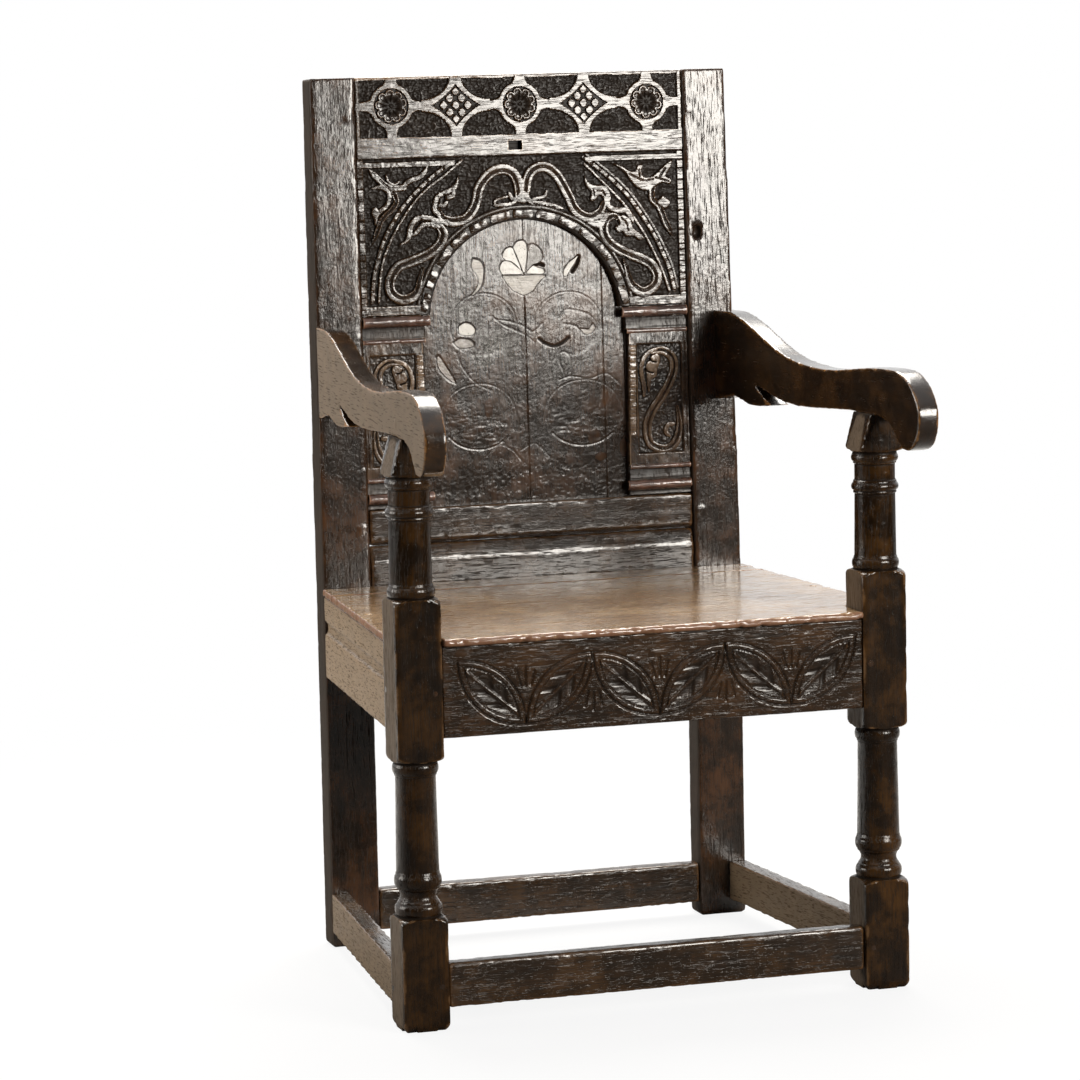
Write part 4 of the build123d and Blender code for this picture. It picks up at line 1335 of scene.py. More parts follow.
    def margins(self, face: CarvedFace, reach: np.ndarray) -> None:
        """Leaves the fillets along the board's edges, the upright ones cut into blocks.

        Args:
            face: the board.
            reach: distance from the arch's centre.
        """
        x, v = face.across, face.up
        side = self.half_width - np.abs(x)
        pitch = np.where(v > self.block_change, *self.block_pitches)
        cuts = np.clip(np.cos((v + 2.2 * face.noise((60, 9), 15)) * 2 * math.pi / pitch) * 9 - 8, 0, 1)
        blocks = -0.3 - 1.6 * cuts + 0.25 * face.noise((9, 11), 16)
        face.raise_to(blocks - 3.0 * np.maximum(side - self.margin, 0))
        top, foot = self.high - v, v - self.low
        for height, level, (middle, half), zone in (
                (-0.1, top, self.top_fillet, np.abs(x) > self.top_from),
                (-0.3, foot, self.foot_fillet, reach > self.lip)):
            face.raise_to(height - 3.0 * np.maximum(np.abs(level - middle) - half, 0), zone)


@dataclass
class Pilaster:
    """A carved board beside the panel, with an S scroll. Millimetres."""

    side: int
    finish: OakFinish
    low: float = 91.0
    high: float = 322.4
    inner: float = 127.0
    outer: float = 205.8
    front: float = 6.0
    back: float = 17.0
    field_low: float = 141.0
    field_high: float = 276.0
    field_inner: float = 139.8
    field_outer: float = 198.0
    depth: float = 3.1
    bead_foot: tuple[float, float] = (132.8, 167.0)
    bead_head: tuple[float, float] = (135.3, 273.0)
    bead_half: float = 4.6
    beads: int = 25
    bead_size: tuple[float, float, float] = (4.1, 8.4, 4.4)
    coves: tuple[tuple[float, float], ...] = ((294, 309), (109, 123), (91, 97))
    edge_depth: float = 9.0
    motif: Motif = Motif(
        straps=(
            Strap(((160, 266), (167, 267), (176, 266), (185, 259), (188, 249), (186, 237), (179, 223),
                  (170, 209), (160, 196), (153, 182), (151, 168), (154, 155), (163, 148), (175, 146),
                  (185, 151), (191, 162), (193, 178), (191, 197)), 10.4, (0.10, 0.10), start=0.6, end=0.25,
                  gouge=(2.6, 1.0)),
            Strap(((166, 269), (156, 265), (149, 258), (146, 249), (145.5, 241), (147, 232), (148.5, 222),
                  (148, 212)), 4.8, start=0.7, end=0.5),
            Strap(((185, 176), (178, 175), (175, 167), (180, 161)), 5.0, start=0.8, end=0.5)),
        leaves=(((167, 264), (170, 258), (169, 252), (167, 246), (165, 240), (164, 235), (158, 232),
                 (157, 225), (154.5, 217), (153, 225), (152.5, 234), (152, 242), (152, 248), (154, 253),
                 (158, 255), (158, 259), (162, 262)),), leaf_top=-0.1,
        cuts=(((157.3, 257), (159.5, 254), (164.6, 253.2)), ((151, 245.5), (153.6, 242), (160.5, 239.8))),
        cut=(1.3, 2.0, 0.9))

    def build(self) -> None:
        """Carves the board."""
        ends = sorted((self.side * self.inner, self.side * self.outer))
        face = CarvedFace((ends[0], self.low), (ends[1], self.high), 0.62)
        x, v = face.across * self.side, face.up
        sunk = np.minimum(np.minimum(x - self.field_inner, self.field_outer - x),
                          np.minimum(v - self.field_low, self.field_high - v))
        stipple = 0.40 * face.punched(1.9, 23) + 0.25 * face.punched(4.0, 24)
        face.height[:] = np.maximum(-self.depth + stipple * (sunk > 0), -1.6 * np.maximum(sunk, 0))
        (foot_x, foot), (head_x, top) = self.bead_foot, self.bead_head
        aside = x - foot_x - (head_x - foot_x) * (v - foot) / (top - foot)
        channel = np.abs(aside) < self.bead_half
        face.height = np.where(channel & (v > foot - 2) & (v < self.field_high), -1.9, face.height)
        self.motif.carve(face, self.side)
        # the strap tops are painted rubbed, more so towards the top: partly wear, partly painted light on the
        # lit straps
        face.rubbed = np.where(sunk > 0.5, np.clip(1.6 + face.height, 0, 1), 0.0) \
            * (0.50 + 0.25 * face.noise((9, 14), 29) + 0.002 * (v - self.field_low))
        # the strip outside the beads is sunk deep enough that the depth darkening turns it black: a painted
        # shadow of the gap beside the pilaster
        face.height = np.where(aside < -self.bead_half - 0.3, -self.edge_depth, face.height)
        face.line([(self.side * 202.6, self.field_low), (self.side * 202.6, self.field_high)], 0.7, 0.5)
        # the coves are darkened, most next to the moulding over them: painted shadow of its overhang
        for low, high in self.coves:
            share = (v - low) / (high - low)
            cove = -1.0 - 1.5 * share ** 2 + 0.16 * face.noise((60, 1.7), 28)
            zone = (share >= 0) & (share <= 1)
            face.height = np.where(zone, cove, face.height)
            face.dirt = np.where(zone, 0.50 + 0.34 * share, face.dirt)
        face.height = face.height + 0.10 * face.noise((6, 14), 25) + 0.05 * face.noise((2, 5), 26)
        face.round_arris(0.8, 27)
        name = "left" if self.side < 0 else "right"
        material = self.finish.material()
        line = np.array([(self.side * across, up) for across, up in (self.bead_foot, self.bead_head)])
        BlockRow(self.beads, self.bead_size, 0.08, seed=11, wear=0.8, uneven=1.4).build(
            "beads_" + name, line, self.front + 1.6, material)
        face.solid("carved_pilaster_" + name, PLANES.on_back, (self.front, self.back), material,
                   "panel_oak", "pilaster_" + name, ground=4.4)


@dataclass
class FrontRail:
    """The rail under the seat, carved with a zigzag of leaves. Millimetres."""

    finish: OakFinish
    low: float = 328.5
    high: float = 430.5
    half_width: float = 248.0
    front: float = 2.0
    back: float = 28.0
    leaf_top: float = 414.0
    leaf_foot: float = 338.0
    first: float = -231.0
    run: float = 78.5
    half_leaf: float = 24.0
    leaves: int = 6

    def build(self) -> None:
        """Carves the rail."""
        face = CarvedFace((-self.half_width, self.low), (self.half_width, self.high), 0.83)
        adzed = 0.28 * face.noise((26, 6.5), 33) + 0.14 * face.noise((9, 2.4), 34)
        face.height[:] = adzed - 0.4
        for index in range(self.leaves):
            tops = (self.leaf_top, self.leaf_foot)
            start = np.array([self.first + self.run * index, tops[index % 2]])
            end = np.array([self.first + self.run * (index + 1), tops[(index + 1) % 2]])
            self.leaf(face, start, end, index)
        self.spandrels(face)
        face.height = face.height + 0.10 * face.noise((12, 3), 35) + 0.07 * face.noise((4, 1.6), 36)
        face.height = np.minimum(face.height, 0.0)
        face.round_arris(1.4, 37)
        face.solid("carved_front_rail", PLANES.on_front, (self.front, self.back), self.finish.material(),
                   "frame_oak", "front_seat_rail", ground=3.6)

    def leaf(self, face: CarvedFace, start: np.ndarray, end: np.ndarray, index: int) -> None:
        """Carves one leaf: two outlines round a notched hollow.

        Args:
            face: the rail.
            start: its left tip.
            end: its right tip.
            index: place in the row.
        """
        middle, half_length = (start + end) / 2, np.linalg.norm(end - start) / 2
        way = (end - start) / (2 * half_length)
        x, v = face.across - middle[0], face.up - middle[1]
        lengthwise, sideways = x * way[0] + v * way[1], v * way[0] - x * way[1]
        radius = (half_length ** 2 + self.half_leaf ** 2) / (2 * self.half_leaf)
        edge = np.hypot(lengthwise, np.abs(sideways) + radius - self.half_leaf) - radius
        groove = 1.9 * np.exp(-((edge + 0.6) / 1.2) ** 2) + 1.5 * np.exp(-((edge + 8.0) / 1.1) ** 2)
        band = np.where((edge < 0) & (edge > -8), -0.15 - 0.012 * (edge + 4) ** 2, face.height)
        face.height = band - groove
        core = edge < -9
        scoop = -1.0 - 0.16 * np.clip(-edge - 9, 0, 12)
        rib = 1.5 * np.exp(-((sideways - 0.06 * lengthwise * (-1) ** index) / 2.0) ** 2)
        cuts = np.clip(np.cos(lengthwise / 3.6 + np.abs(sideways) / 3.0), 0, 1) * (np.abs(sideways) > 3.0)
        face.height = np.where(core, scoop + rib - 1.1 * cuts * (np.abs(lengthwise) < 24), face.height)

    def spandrels(self, face: CarvedFace) -> None:
        """Cuts the small upright gouges over and under the leaves.

        Args:
            face: the rail.
        """
        for index in range(1, self.leaves):
            centre = self.first + self.run * index
            high = index % 2 == 1
            for step in (-1, 0, 1):
                reach = 17 - 5 * abs(step)
                tip = self.leaf_foot + 40 if high else self.leaf_top - 40
                start = (centre + 6 * step, tip + (4 if high else -4))
                end = (centre + 10 * step, tip + (reach + 8 if high else -reach - 8))
                face.line([start, end], 2.4, 1.5)


@dataclass(frozen=True)
class Oval:
    """Part of an oval, in millimetres and degrees."""

    across: float
    up: float
    half_width: float
    half_height: float
    start: float = 0.0
    end: float = 360.0

    def path(self) -> Points:
        """Points along it."""
        turns = np.radians(np.linspace(self.start, self.end, 25))
        return [(self.across + self.half_width * math.cos(turn), self.up + self.half_height * math.sin(turn))
                for turn in turns]

    def inside(self, face: CarvedFace) -> np.ndarray:
        """1 inside the oval and 0 outside, with a soft edge."""
        aside, over = (face.across - self.across) / self.half_width, (face.up - self.up) / self.half_height
        return np.clip((1 - np.hypot(aside, over)) * 4, 0, 1)


@dataclass
class PanelBoards:
    """The three upright boards behind the arch, with incised stems. Millimetres."""

    finish: OakFinish
    low: float = 83.0
    high: float = 517.9
    edge: float = 214.0
    joints: tuple[float, float] = (2.0, 100.5)
    front: float = 17.0
    back: float = 26.0
    seen: tuple[float, float] = (-131.0, 131.0)
    cut: float = 0.16
    stems: tuple[Oval, ...] = (
        Oval(-51, 306, 42, 39, 5, 230), Oval(57, 303, 43, 40, -10, 200), Oval(-60, 196, 47, 40, -25, 200),
        Oval(73, 195, 49, 40, -20, 190))
    lower_rims: tuple[Oval, ...] = (Oval(-60, 196, 47, 40, 215, 320), Oval(73, 195, 49, 40, 215, 320))
    lines: tuple[Points, ...] = (
        ((-25, 366), (-19, 355), (-11, 347), (1, 341), (11, 344), (20, 355), (26, 364)),
        ((1, 341), (2, 310), (2, 282)),
        ((-66, 342), (-57, 351), (-55, 361), (-58, 369), (-64, 376), (-64, 382), (-61, 388)),
        ((-66, 342), (-55, 348), (-50, 357), (-48, 367), (-48, 377), (-52, 385), (-61, 388)),
        ((58, 362), (51, 348)),
        ((-39, 317), (-29, 308), (-16, 301), (1, 293), (14, 283)),
        ((-36, 313), (-19, 310), (1, 303), (11, 296), (24, 306)),
        ((31, 276), (31, 259)),
        ((45, 275), (36, 259)),
        ((45, 268), (50, 270), (57, 265), (58, 251), (52, 238), (48, 248), (44, 258), (45, 268)),
        ((-112, 270), (-108, 272), (-99, 258), (-88, 237)),
        ((-112, 270), (-110, 256), (-100, 244), (-88, 237)),
        ((-87, 277), (-79, 257), (-63, 237), (-42, 226)),
        ((-90, 287), (-81, 292), (-68, 290), (-63, 283), (-71, 279), (-83, 280), (-90, 287)),
        ((46, 311), (53, 321), (67, 320), (84, 314), (92, 304), (87, 293), (75, 290), (67, 300), (53, 304)),
        ((-9, 152), (7, 160), (17, 155), (28, 143)),
        ((-52, 147), (-36, 160), (-20, 154), (-8, 140)),
        ((44, 236), (58, 240), (82, 236), (104, 241), (122, 226)))
    smile: Points = ((19, 287), (27, 281), (37, 277.5), (47, 280), (57, 287))
    hollows: tuple[Points, ...] = (((16, 377), (22, 378), (27, 376)), ((72.5, 385), (70.5, 376), (64, 367)))
    rust: tuple[Oval, ...] = (
        Oval(86, 165, 9, 12), Oval(101, 213, 6, 12), Oval(123, 150, 5, 13), Oval(94, 140, 8, 6),
        Oval(-47, 205, 6, 14))

    def build(self) -> None:
        """Makes the boards."""
        limits = (-self.edge, *self.joints, self.edge)
        material = self.finish.material()
        inlays = Inlays()
        for name, start, end in zip(("left", "centre", "right"), limits, limits[1:]):
            face = CarvedFace((start, self.low), (end, self.high), 0.98, self.seen)
            self.relief(face)
            for points in self.lines:
                if min(x for x, _ in points) - 3 < end and max(x for x, _ in points) + 3 > start:
                    face.line(points, 1.0, self.cut, 0.42)
            for oval in self.stems:
                face.line(oval.path(), 1.0, self.cut, 0.36)
            for oval in self.lower_rims:
                face.line(oval.path(), 1.2, self.cut * 2)
            face.line(self.smile, 2.3, self.cut * 5, 1.0)
            for points in self.hollows:
                face.line(points, 2.4, 1.8, 1.0)
            for oval in self.rust:
                stain = oval.inside(face) * (0.6 + 0.4 * face.noise((5, 7), 58))
                face.rubbed = np.maximum(face.rubbed, stain)
            for sliver in (*inlays.flower, *inlays.left_leaf, *inlays.right_leaf, *inlays.buds):
                face.line((*sliver.outline, sliver.outline[0]), 1.0, self.cut * 2, 0.7)
            face.round_arris(0.28, 47)
            face.height = np.minimum(face.height, 0.0)
            face.solid("panel_board_" + name + "_face", PLANES.on_back, (self.front, self.back), material,
                       "panel_oak", "panel_board_" + name, ground=16.0, sides=1.0)

    def relief(self, face: CarvedFace) -> None:
        """Gives the boards their worn, uneven surface, rougher towards the foot.

        Args:
            face: one board.
        """
        worn = np.clip((235 - face.up) / 130, 0, 1)
        face.height[:] = -0.45 + 0.22 * face.noise((30, 90), 43) + 0.05 * face.noise((5, 40), 44)
        face.height += worn * (0.10 * face.noise((22, 12), 45) + 0.05 * face.punched(4.0, 46))
        for index, oval in enumerate(self.stems):
            inside = oval.inside(face)
            face.height += np.clip(inside * 2.5, 0, 1) * (0.06 * face.noise((24, 12), 50 + index) - 0.08)
        for oval in self.stems[2:]:
            low = oval.inside(face) * np.clip((oval.up + 10 - face.up) / 18, 0, 1)
            face.height += low * (0.07 * face.noise((9, 2.6), 55) + 0.04 * face.noise((4, 2.1), 56))
        foot = np.clip((150 - face.up) / 30, 0, 1)
        face.height += 0.02 * face.punched(3.5, 49) + foot * 0.07 * face.noise((3.2, 2.4), 57)


@dataclass(frozen=True)
class InlayFinish:
    """Pale inlay, waxed over and a little dirty."""

    name: str
    pale: Colour = (0.86, 0.84, 0.79)
    grey: Colour = (0.14, 0.125, 0.11)
    brown: Colour = (0.20, 0.12, 0.07)
    ruling: Colour = (0.06, 0.04, 0.025)
    specks: Colour = (0.05, 0.04, 0.03)
    roughness: float = 0.13

    def material(self) -> bpy.types.Material:
        """Builds the material.

        Returns:
            A material that reads the mesh attributes wear (paler), which on the inlays holds each sliver's
            given paleness and for one petal painted shade, and grime (browner).
        """
        made = bpy.data.materials.new(self.name)
        tree = Tree.of(made)
        place = tree.node("ShaderNodeTexCoord", output="Object")
        drawn = tree.stretched(place, (1.0, 1.0, 0.12))
        fibre = tree.noise(drawn, 900.0, 3.0, 0.6)
        cloud = tree.noise(place, 120.0, 4.0, 0.6)
        speck = tree.noise(place, 650.0, 2.0).between(0.62, 0.70)
        wear, brown = tree.attribute("wear"), tree.attribute("grime")
        colour = tree.mix((wear * 1.25 + (cloud - 0.5) * 0.9).between(0.0, 1.0), self.grey, self.pale)
        colour = tree.mix(brown, colour, self.brown)
        ruled = tree.noise(tree.stretched(place, (0.08, 1.0, 1.0)), 620.0, 2.0).between(0.50, 0.62)
        colour = tree.mix(ruled * brown * 1.2, colour, self.ruling)
        colour = tree.mix(speck * 0.7 + (fibre - 0.4) * 0.5, colour, self.specks)
        rough = self.roughness + cloud * 0.2 + speck * 0.3
        normal = tree.bump(fibre * 0.05 + cloud * 0.35 - speck * 0.1)
        surface = tree.node("ShaderNodeBsdfPrincipled", None,
                            {"Base Color": colour, "Roughness": rough, "Normal": normal,
                             "Specular IOR Level": 0.7})
        tree.end("ShaderNodeOutputMaterial", surface)
        return made


@dataclass(frozen=True)
class Sliver:
    """One cut piece of inlay: its outline, tilt and tone, where one petal's grey tone is painted shade.
    Millimetres.
    """

    outline: Points
    pale: float
    brown: float = 0.0
    tilt: tuple[float, float] = (0.0, 0.0)


@dataclass
class Inlays:
    """The flower, leaves and buds let into the panel. Millimetres."""

    front: float = 16.95
    back: float = 18.4
    edge: float = 0.45
    flower: tuple[Sliver, ...] = (
        Sliver(((-25, 367), (-28, 373), (-26, 380), (-21, 383), (-13, 381), (-6, 375), (1, 367)), 1.0, 0,
               (0.01, 0)),
        Sliver(((-20, 384), (-24, 389), (-21, 396), (-16, 399), (-11, 398), (-7, 388), (-3, 378), (-1, 371),
                (-6, 377), (-13, 382)), 0.95, 0, (0, 0.012)),
        Sliver(((-10, 399), (-6, 405), (1, 407), (6, 403), (7, 390), (5, 378), (3, 368), (1, 371), (-2, 379),
                (-6, 389)), 0.85, 0, (-0.012, 0)),
        # this petal's low paleness is painted shade on the same white inlay
        Sliver(((8, 401), (15, 402), (22, 398), (26, 391), (26, 384), (20, 379), (13, 377), (7, 371),
                (6, 377), (8, 389)), 0.12, 0, (-0.03, 0.03)),
        Sliver(((5, 367), (26, 366), (27, 371), (20, 374), (14, 376), (8, 371)), 0.95, 0, (0.02, 0)),
        Sliver(((-25, 365), (26, 364), (24, 359), (19, 354), (14, 347), (8, 343), (1, 341), (-6, 344),
                (-12, 347), (-19, 355)), 0.65, 0.30, (0, -0.01)))
    left_leaf: tuple[Sliver, ...] = (
        Sliver(((-61, 387), (-53, 384), (-49, 377), (-49, 366), (-51, 357), (-56, 349), (-64, 343),
                (-57, 352), (-55, 361), (-58, 369), (-63, 376), (-63, 382)), 0.60, 0.30),)
    right_leaf: tuple[Sliver, ...] = (
        Sliver(((72, 386), (66, 382), (59, 377), (54, 370), (53, 363), (56, 362), (61, 369), (66, 376)),
               0.9, 0, (-0.02, 0)),)
    buds: tuple[Sliver, ...] = (
        Sliver(((-82, 306), (-75, 310), (-67, 308), (-62, 302), (-64, 296), (-74, 295), (-82, 298)), 1.0, 0,
               (0.02, 0)),
        Sliver(((-89, 287), (-81, 291), (-69, 289), (-64, 283), (-71, 280), (-83, 281)), 0.25, 0.3,
               (0, 0.03)),
        Sliver(((-111, 269), (-108, 271), (-99, 257), (-89, 239), (-99, 245), (-109, 257)),
               0.05, 0.55, (0.025, 0.02)),
        Sliver(((72, 297), (83, 296), (88, 302), (91, 297), (85, 291), (77, 291)), 0.3, 0.4, (0.03, 0.0)))

    def build(self) -> None:
        """Makes the inlays."""
        material = InlayFinish("pale_inlay").material()
        for node, slivers in (("inlay_flower", self.flower), ("inlay_leaf_left", self.left_leaf),
                              ("inlay_leaf_right", self.right_leaf), ("inlay_buds", self.buds)):
            piece = self.cut(node + "_slivers", slivers, material)
            finish_piece(piece, "pale_inlay", node)

    def cut(self, name: str, slivers: Sequence[Sliver], material: bpy.types.Material) -> bpy.types.Object:
        """Cuts a set of slivers as closed thin plates with eased edges.

        Args:
            name: the piece's name.
            slivers: its parts.
            material: its finish.

        Returns:
            The piece.
        """
        points, faces, wear, grime = [], [], [], []
        for sliver in slivers:
            ring = smooth_path((*sliver.outline, sliver.outline[0]), 4)[:-1]
            if self.area(ring) < 0:
                ring = ring[::-1]
            middle = ring.mean(axis=0)
            out = ring - middle
            inner = middle + out * (1 - self.edge / np.linalg.norm(out, axis=1))[:, None]
            count, base = len(ring), len(points)
            lean = (inner - middle) @ np.array(sliver.tilt)
            for outline, depth in ((inner, self.front + lean), (ring, self.front + 0.5 + 0 * lean),
                                   (ring, self.back + 0 * lean)):
                points.extend(PLANES.on_back(outline[:, 0], depth, outline[:, 1]))
            for first in (base, base + count):
                for i in range(count):
                    j = (i + 1) % count
                    faces.append((first + i, first + count + i, first + count + j, first + j))
            faces.append(tuple(range(base, base + count)))
            faces.append(tuple(range(base + 3 * count - 1, base + 2 * count - 1, -1)))
            # each sliver's given paleness goes into wear; for one petal it is painted shade
            wear.extend([sliver.pale] * count + [sliver.pale - 0.5] * (2 * count))
            grime.extend([sliver.brown] * count + [0.8] * (2 * count))
        piece = build(name, np.array(points), faces, np.array(wear), np.array(grime), material)
        piece.data.shade_flat()
        return piece

    def area(self, ring: np.ndarray) -> float:
        """Signed area of an outline."""
        x, y = ring[:, 0], ring[:, 1]
        return float(np.sum(x * np.roll(y, -1) - np.roll(x, -1) * y) / 2)


# ---- turned posts ---------------------------------------------------------------------
class Member(Enum):
    """The shapes that a turned outline is stacked from."""

    FILLET = "fillet"
    BEAD = "bead"
    COVE = "cove"
    SHAFT = "shaft"


FILLET, BEAD, COVE, SHAFT = Member


@dataclass(frozen=True)
class Turning:
    """One member of a turned outline, in millimetres."""

    kind: Member
    height: float
    radius: float
    end_radius: float = 0.0

    def outline(self, share: np.ndarray) -> np.ndarray:
        """Gives the member's outline.

        Args:
            share: shares of its height.

        Returns:
            The radius at each share.
        """
        if self.kind is BEAD:
            return self.radius - 2.6 + 2.6 * np.sqrt(np.clip(1 - (2 * share - 1) ** 2, 0, 1))
        if self.kind is COVE:
            return self.radius - (self.radius - self.end_radius) * np.sin(np.pi * share) ** 0.8
        if self.kind is SHAFT:
            return self.radius + (self.end_radius - self.radius) * share
        return np.full(share.shape, self.radius)


@dataclass
class TurnedPost:
    """A front post: square blocks with turnings between them. Millimetres."""

    side: int
    finish: OakFinish
    half: float = 27.0
    shoulder: float = 11.0
    foot_top: float = 127.0
    block_low: float = 303.0
    block_high: float = 484.0
    cap_low: float = 620.0
    top: float = 662.5
    cap_half: float = 15.0
    around: int = 104
    centre: float = 275.0
    lower: tuple[Turning, ...] = (
        Turning(FILLET, 2.0, 24.8), Turning(BEAD, 13.0, 26.6), Turning(FILLET, 2.0, 23.6),
        Turning(COVE, 15.0, 23.8, 20.3), Turning(FILLET, 2.0, 24.2),
        Turning(BEAD, 14.0, 26.7), Turning(FILLET, 2.5, 24.8),
        Turning(SHAFT, 108.5, 24.2, 22.6), Turning(FILLET, 2.5, 23.6),
        Turning(BEAD, 12.5, 25.9), Turning(FILLET, 2.0, 24.8))
    upper: tuple[Turning, ...] = (
        Turning(FILLET, 1.5, 24.8), Turning(BEAD, 12.0, 26.8), Turning(FILLET, 2.5, 24.8),
        Turning(SHAFT, 72.5, 24.0, 23.1), Turning(FILLET, 2.5, 24.6),
        Turning(BEAD, 9.0, 26.9), Turning(FILLET, 2.5, 24.6),
        Turning(SHAFT, 19.5, 23.1, 23.1), Turning(FILLET, 2.0, 24.6),
        Turning(BEAD, 9.0, 26.8), Turning(FILLET, 3.0, 25.2))

    def turned(self, z: np.ndarray) -> np.ndarray:
        """Finds the radius that the lathe leaves.

        Args:
            z: heights over the floor.

        Returns:
            The radius at each height.
        """
        corner = self.half * math.sqrt(2)
        radius = np.full(z.shape, corner)
        for base, members in ((self.foot_top, self.lower), (self.block_high, self.upper)):
            for member in members:
                share = (z - base) / member.height
                inside = (share >= 0) & (share <= 1)
                radius = np.where(inside, member.outline(np.clip(share, 0, 1)), radius)
                base += member.height
        ends = (self.foot_top, self.block_low, self.block_high, self.cap_low)
        for end, sense in zip(ends, (-1, 1, -1, 1)):
            away = (z - end) * sense
            drop = self.shoulder - np.sqrt(np.clip(self.shoulder ** 2 - (self.shoulder - away) ** 2, 0, None))
            near = (away >= 0) & (away < self.shoulder)
            radius = np.where(near, corner - drop, radius)
        return radius

    def build(self) -> None:
        """Makes the post."""
        seed = 60 + self.side
        fine = np.concatenate([np.arange(self.foot_top - 14, self.block_low + 14, 1.25),
                               np.arange(self.block_high - 14, self.cap_low + 14, 1.25)])
        coarse = np.concatenate([np.arange(10, self.foot_top - 14, 3.5),
                                 np.arange(self.block_low + 14, self.block_high - 14, 3.5),
                                 np.arange(self.cap_low + 14, self.top, 3.0)])
        foot = np.array([0.0, 0.8, 2.0, 3.6, 5.6, 7.8])
        z = np.unique(np.round(np.concatenate([foot, coarse, fine, [self.top]]), 3))
        turn = np.arange(self.around) * 2 * math.pi / self.around
        high, theta = np.meshgrid(z, turn, indexing="ij")
        taper = np.clip((high - self.cap_low) / (self.top - self.cap_low), 0, 1)
        half_x = self.half + (self.cap_half - self.half) * taper
        across, deep = np.abs(np.cos(theta)) / half_x, np.abs(np.sin(theta)) / self.half
        spots = np.stack([np.cos(theta) * 3, np.sin(theta) * 3, high / 14], axis=-1)
        power = 26 - 14 * np.clip(lattice_noise(spots, seed), 0, 1)
        square = (across ** power + deep ** power) ** (-1 / power)
        radius = np.minimum(square, self.turned(high))
        worn_foot = 6.0 * np.clip(1 - high / 9, 0, 1) ** 2
        radius = radius - worn_foot * (0.35 + 0.65 * (np.abs(np.cos(2 * theta)) < 0.6))
        radius = radius + 0.16 * lattice_noise(spots * (0.7, 0.7, 0.4), seed + 1) \
            - 0.45 * np.clip(lattice_noise(spots * (3, 3, 2.2), seed + 2) - 0.35, 0, 1)
        radius = np.minimum(radius, square)
        ridge = radius - soften(np.hstack([radius[:, -6:], radius, radius[:, :6]]), 6)[:, 6:-6]
        wear = np.clip(ridge * 1.2 * (0.45 + 0.9 * lattice_noise(spots * (2, 2, 0.8), seed + 3)), 0, 1)
        grime = np.clip(-ridge * 1.5, 0, 1)
        # the square blocks' faces towards the left get the painted side light colour and are made matte
        dry = np.clip((-np.cos(theta) - 0.74) * 14, 0, 1) * (self.turned(high) > square)
        x = self.side * self.centre + radius * np.cos(theta)
        points = PLANES.on_front(x, self.half + radius * np.sin(theta), high).reshape(-1, 3)
        rows, count = high.shape
        index = np.arange(rows * count).reshape(rows, count)
        following = np.roll(index, -1, axis=1)
        quads = np.stack([index[:-1], following[:-1], following[1:], index[1:]], axis=-1).reshape(-1, 4)
        caps = [tuple(index[0][::-1].tolist()), tuple(index[-1].tolist())]
        name = "left" if self.side < 0 else "right"
        piece = build("turned_post_" + name, points, quads.tolist() + caps, wear.ravel(), grime.ravel(),
                      self.finish.material(), dry.ravel())
        finish_piece(piece, "frame_oak", "front_post_" + name)


# ---- plain members --------------------------------------------------------------------
@dataclass(frozen=True)
class ArmNose:
    """The rounded lower inner corner of an arm's nose: a quarter of an ellipse. Millimetres."""

    side: str
    wide: float = 22.0
    tall: float = 34.0
    reach: float = 55.0

    def round(self, points: np.ndarray) -> np.ndarray:
        """Rounds the corner.

        Args:
            points: the arm's vertices in metres.

        Returns:
            The moved vertices.
        """
        low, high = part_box("arm_" + self.side)
        nose = points[:, 1] < low.y + self.reach * MM
        foot = points[nose, 2].min()
        sense = 1.0 if self.side == "left" else -1.0
        inner = high.x if sense > 0 else low.x
        middle_x, middle_z = inner - sense * self.wide * MM, foot + self.tall * MM
        x, z = (points[:, 0] - middle_x) * sense, points[:, 2] - middle_z
        reach = np.hypot(x / self.wide, z / self.tall) / MM
        outside = nose & (x > 0) & (z < 0) & (reach > 1)
        pull = np.where(outside, 1 / np.maximum(reach, 1e-9), 1.0)
        moved = points.copy()
        moved[:, 0] = middle_x + sense * x * pull
        moved[:, 2] = middle_z + z * pull
        return moved


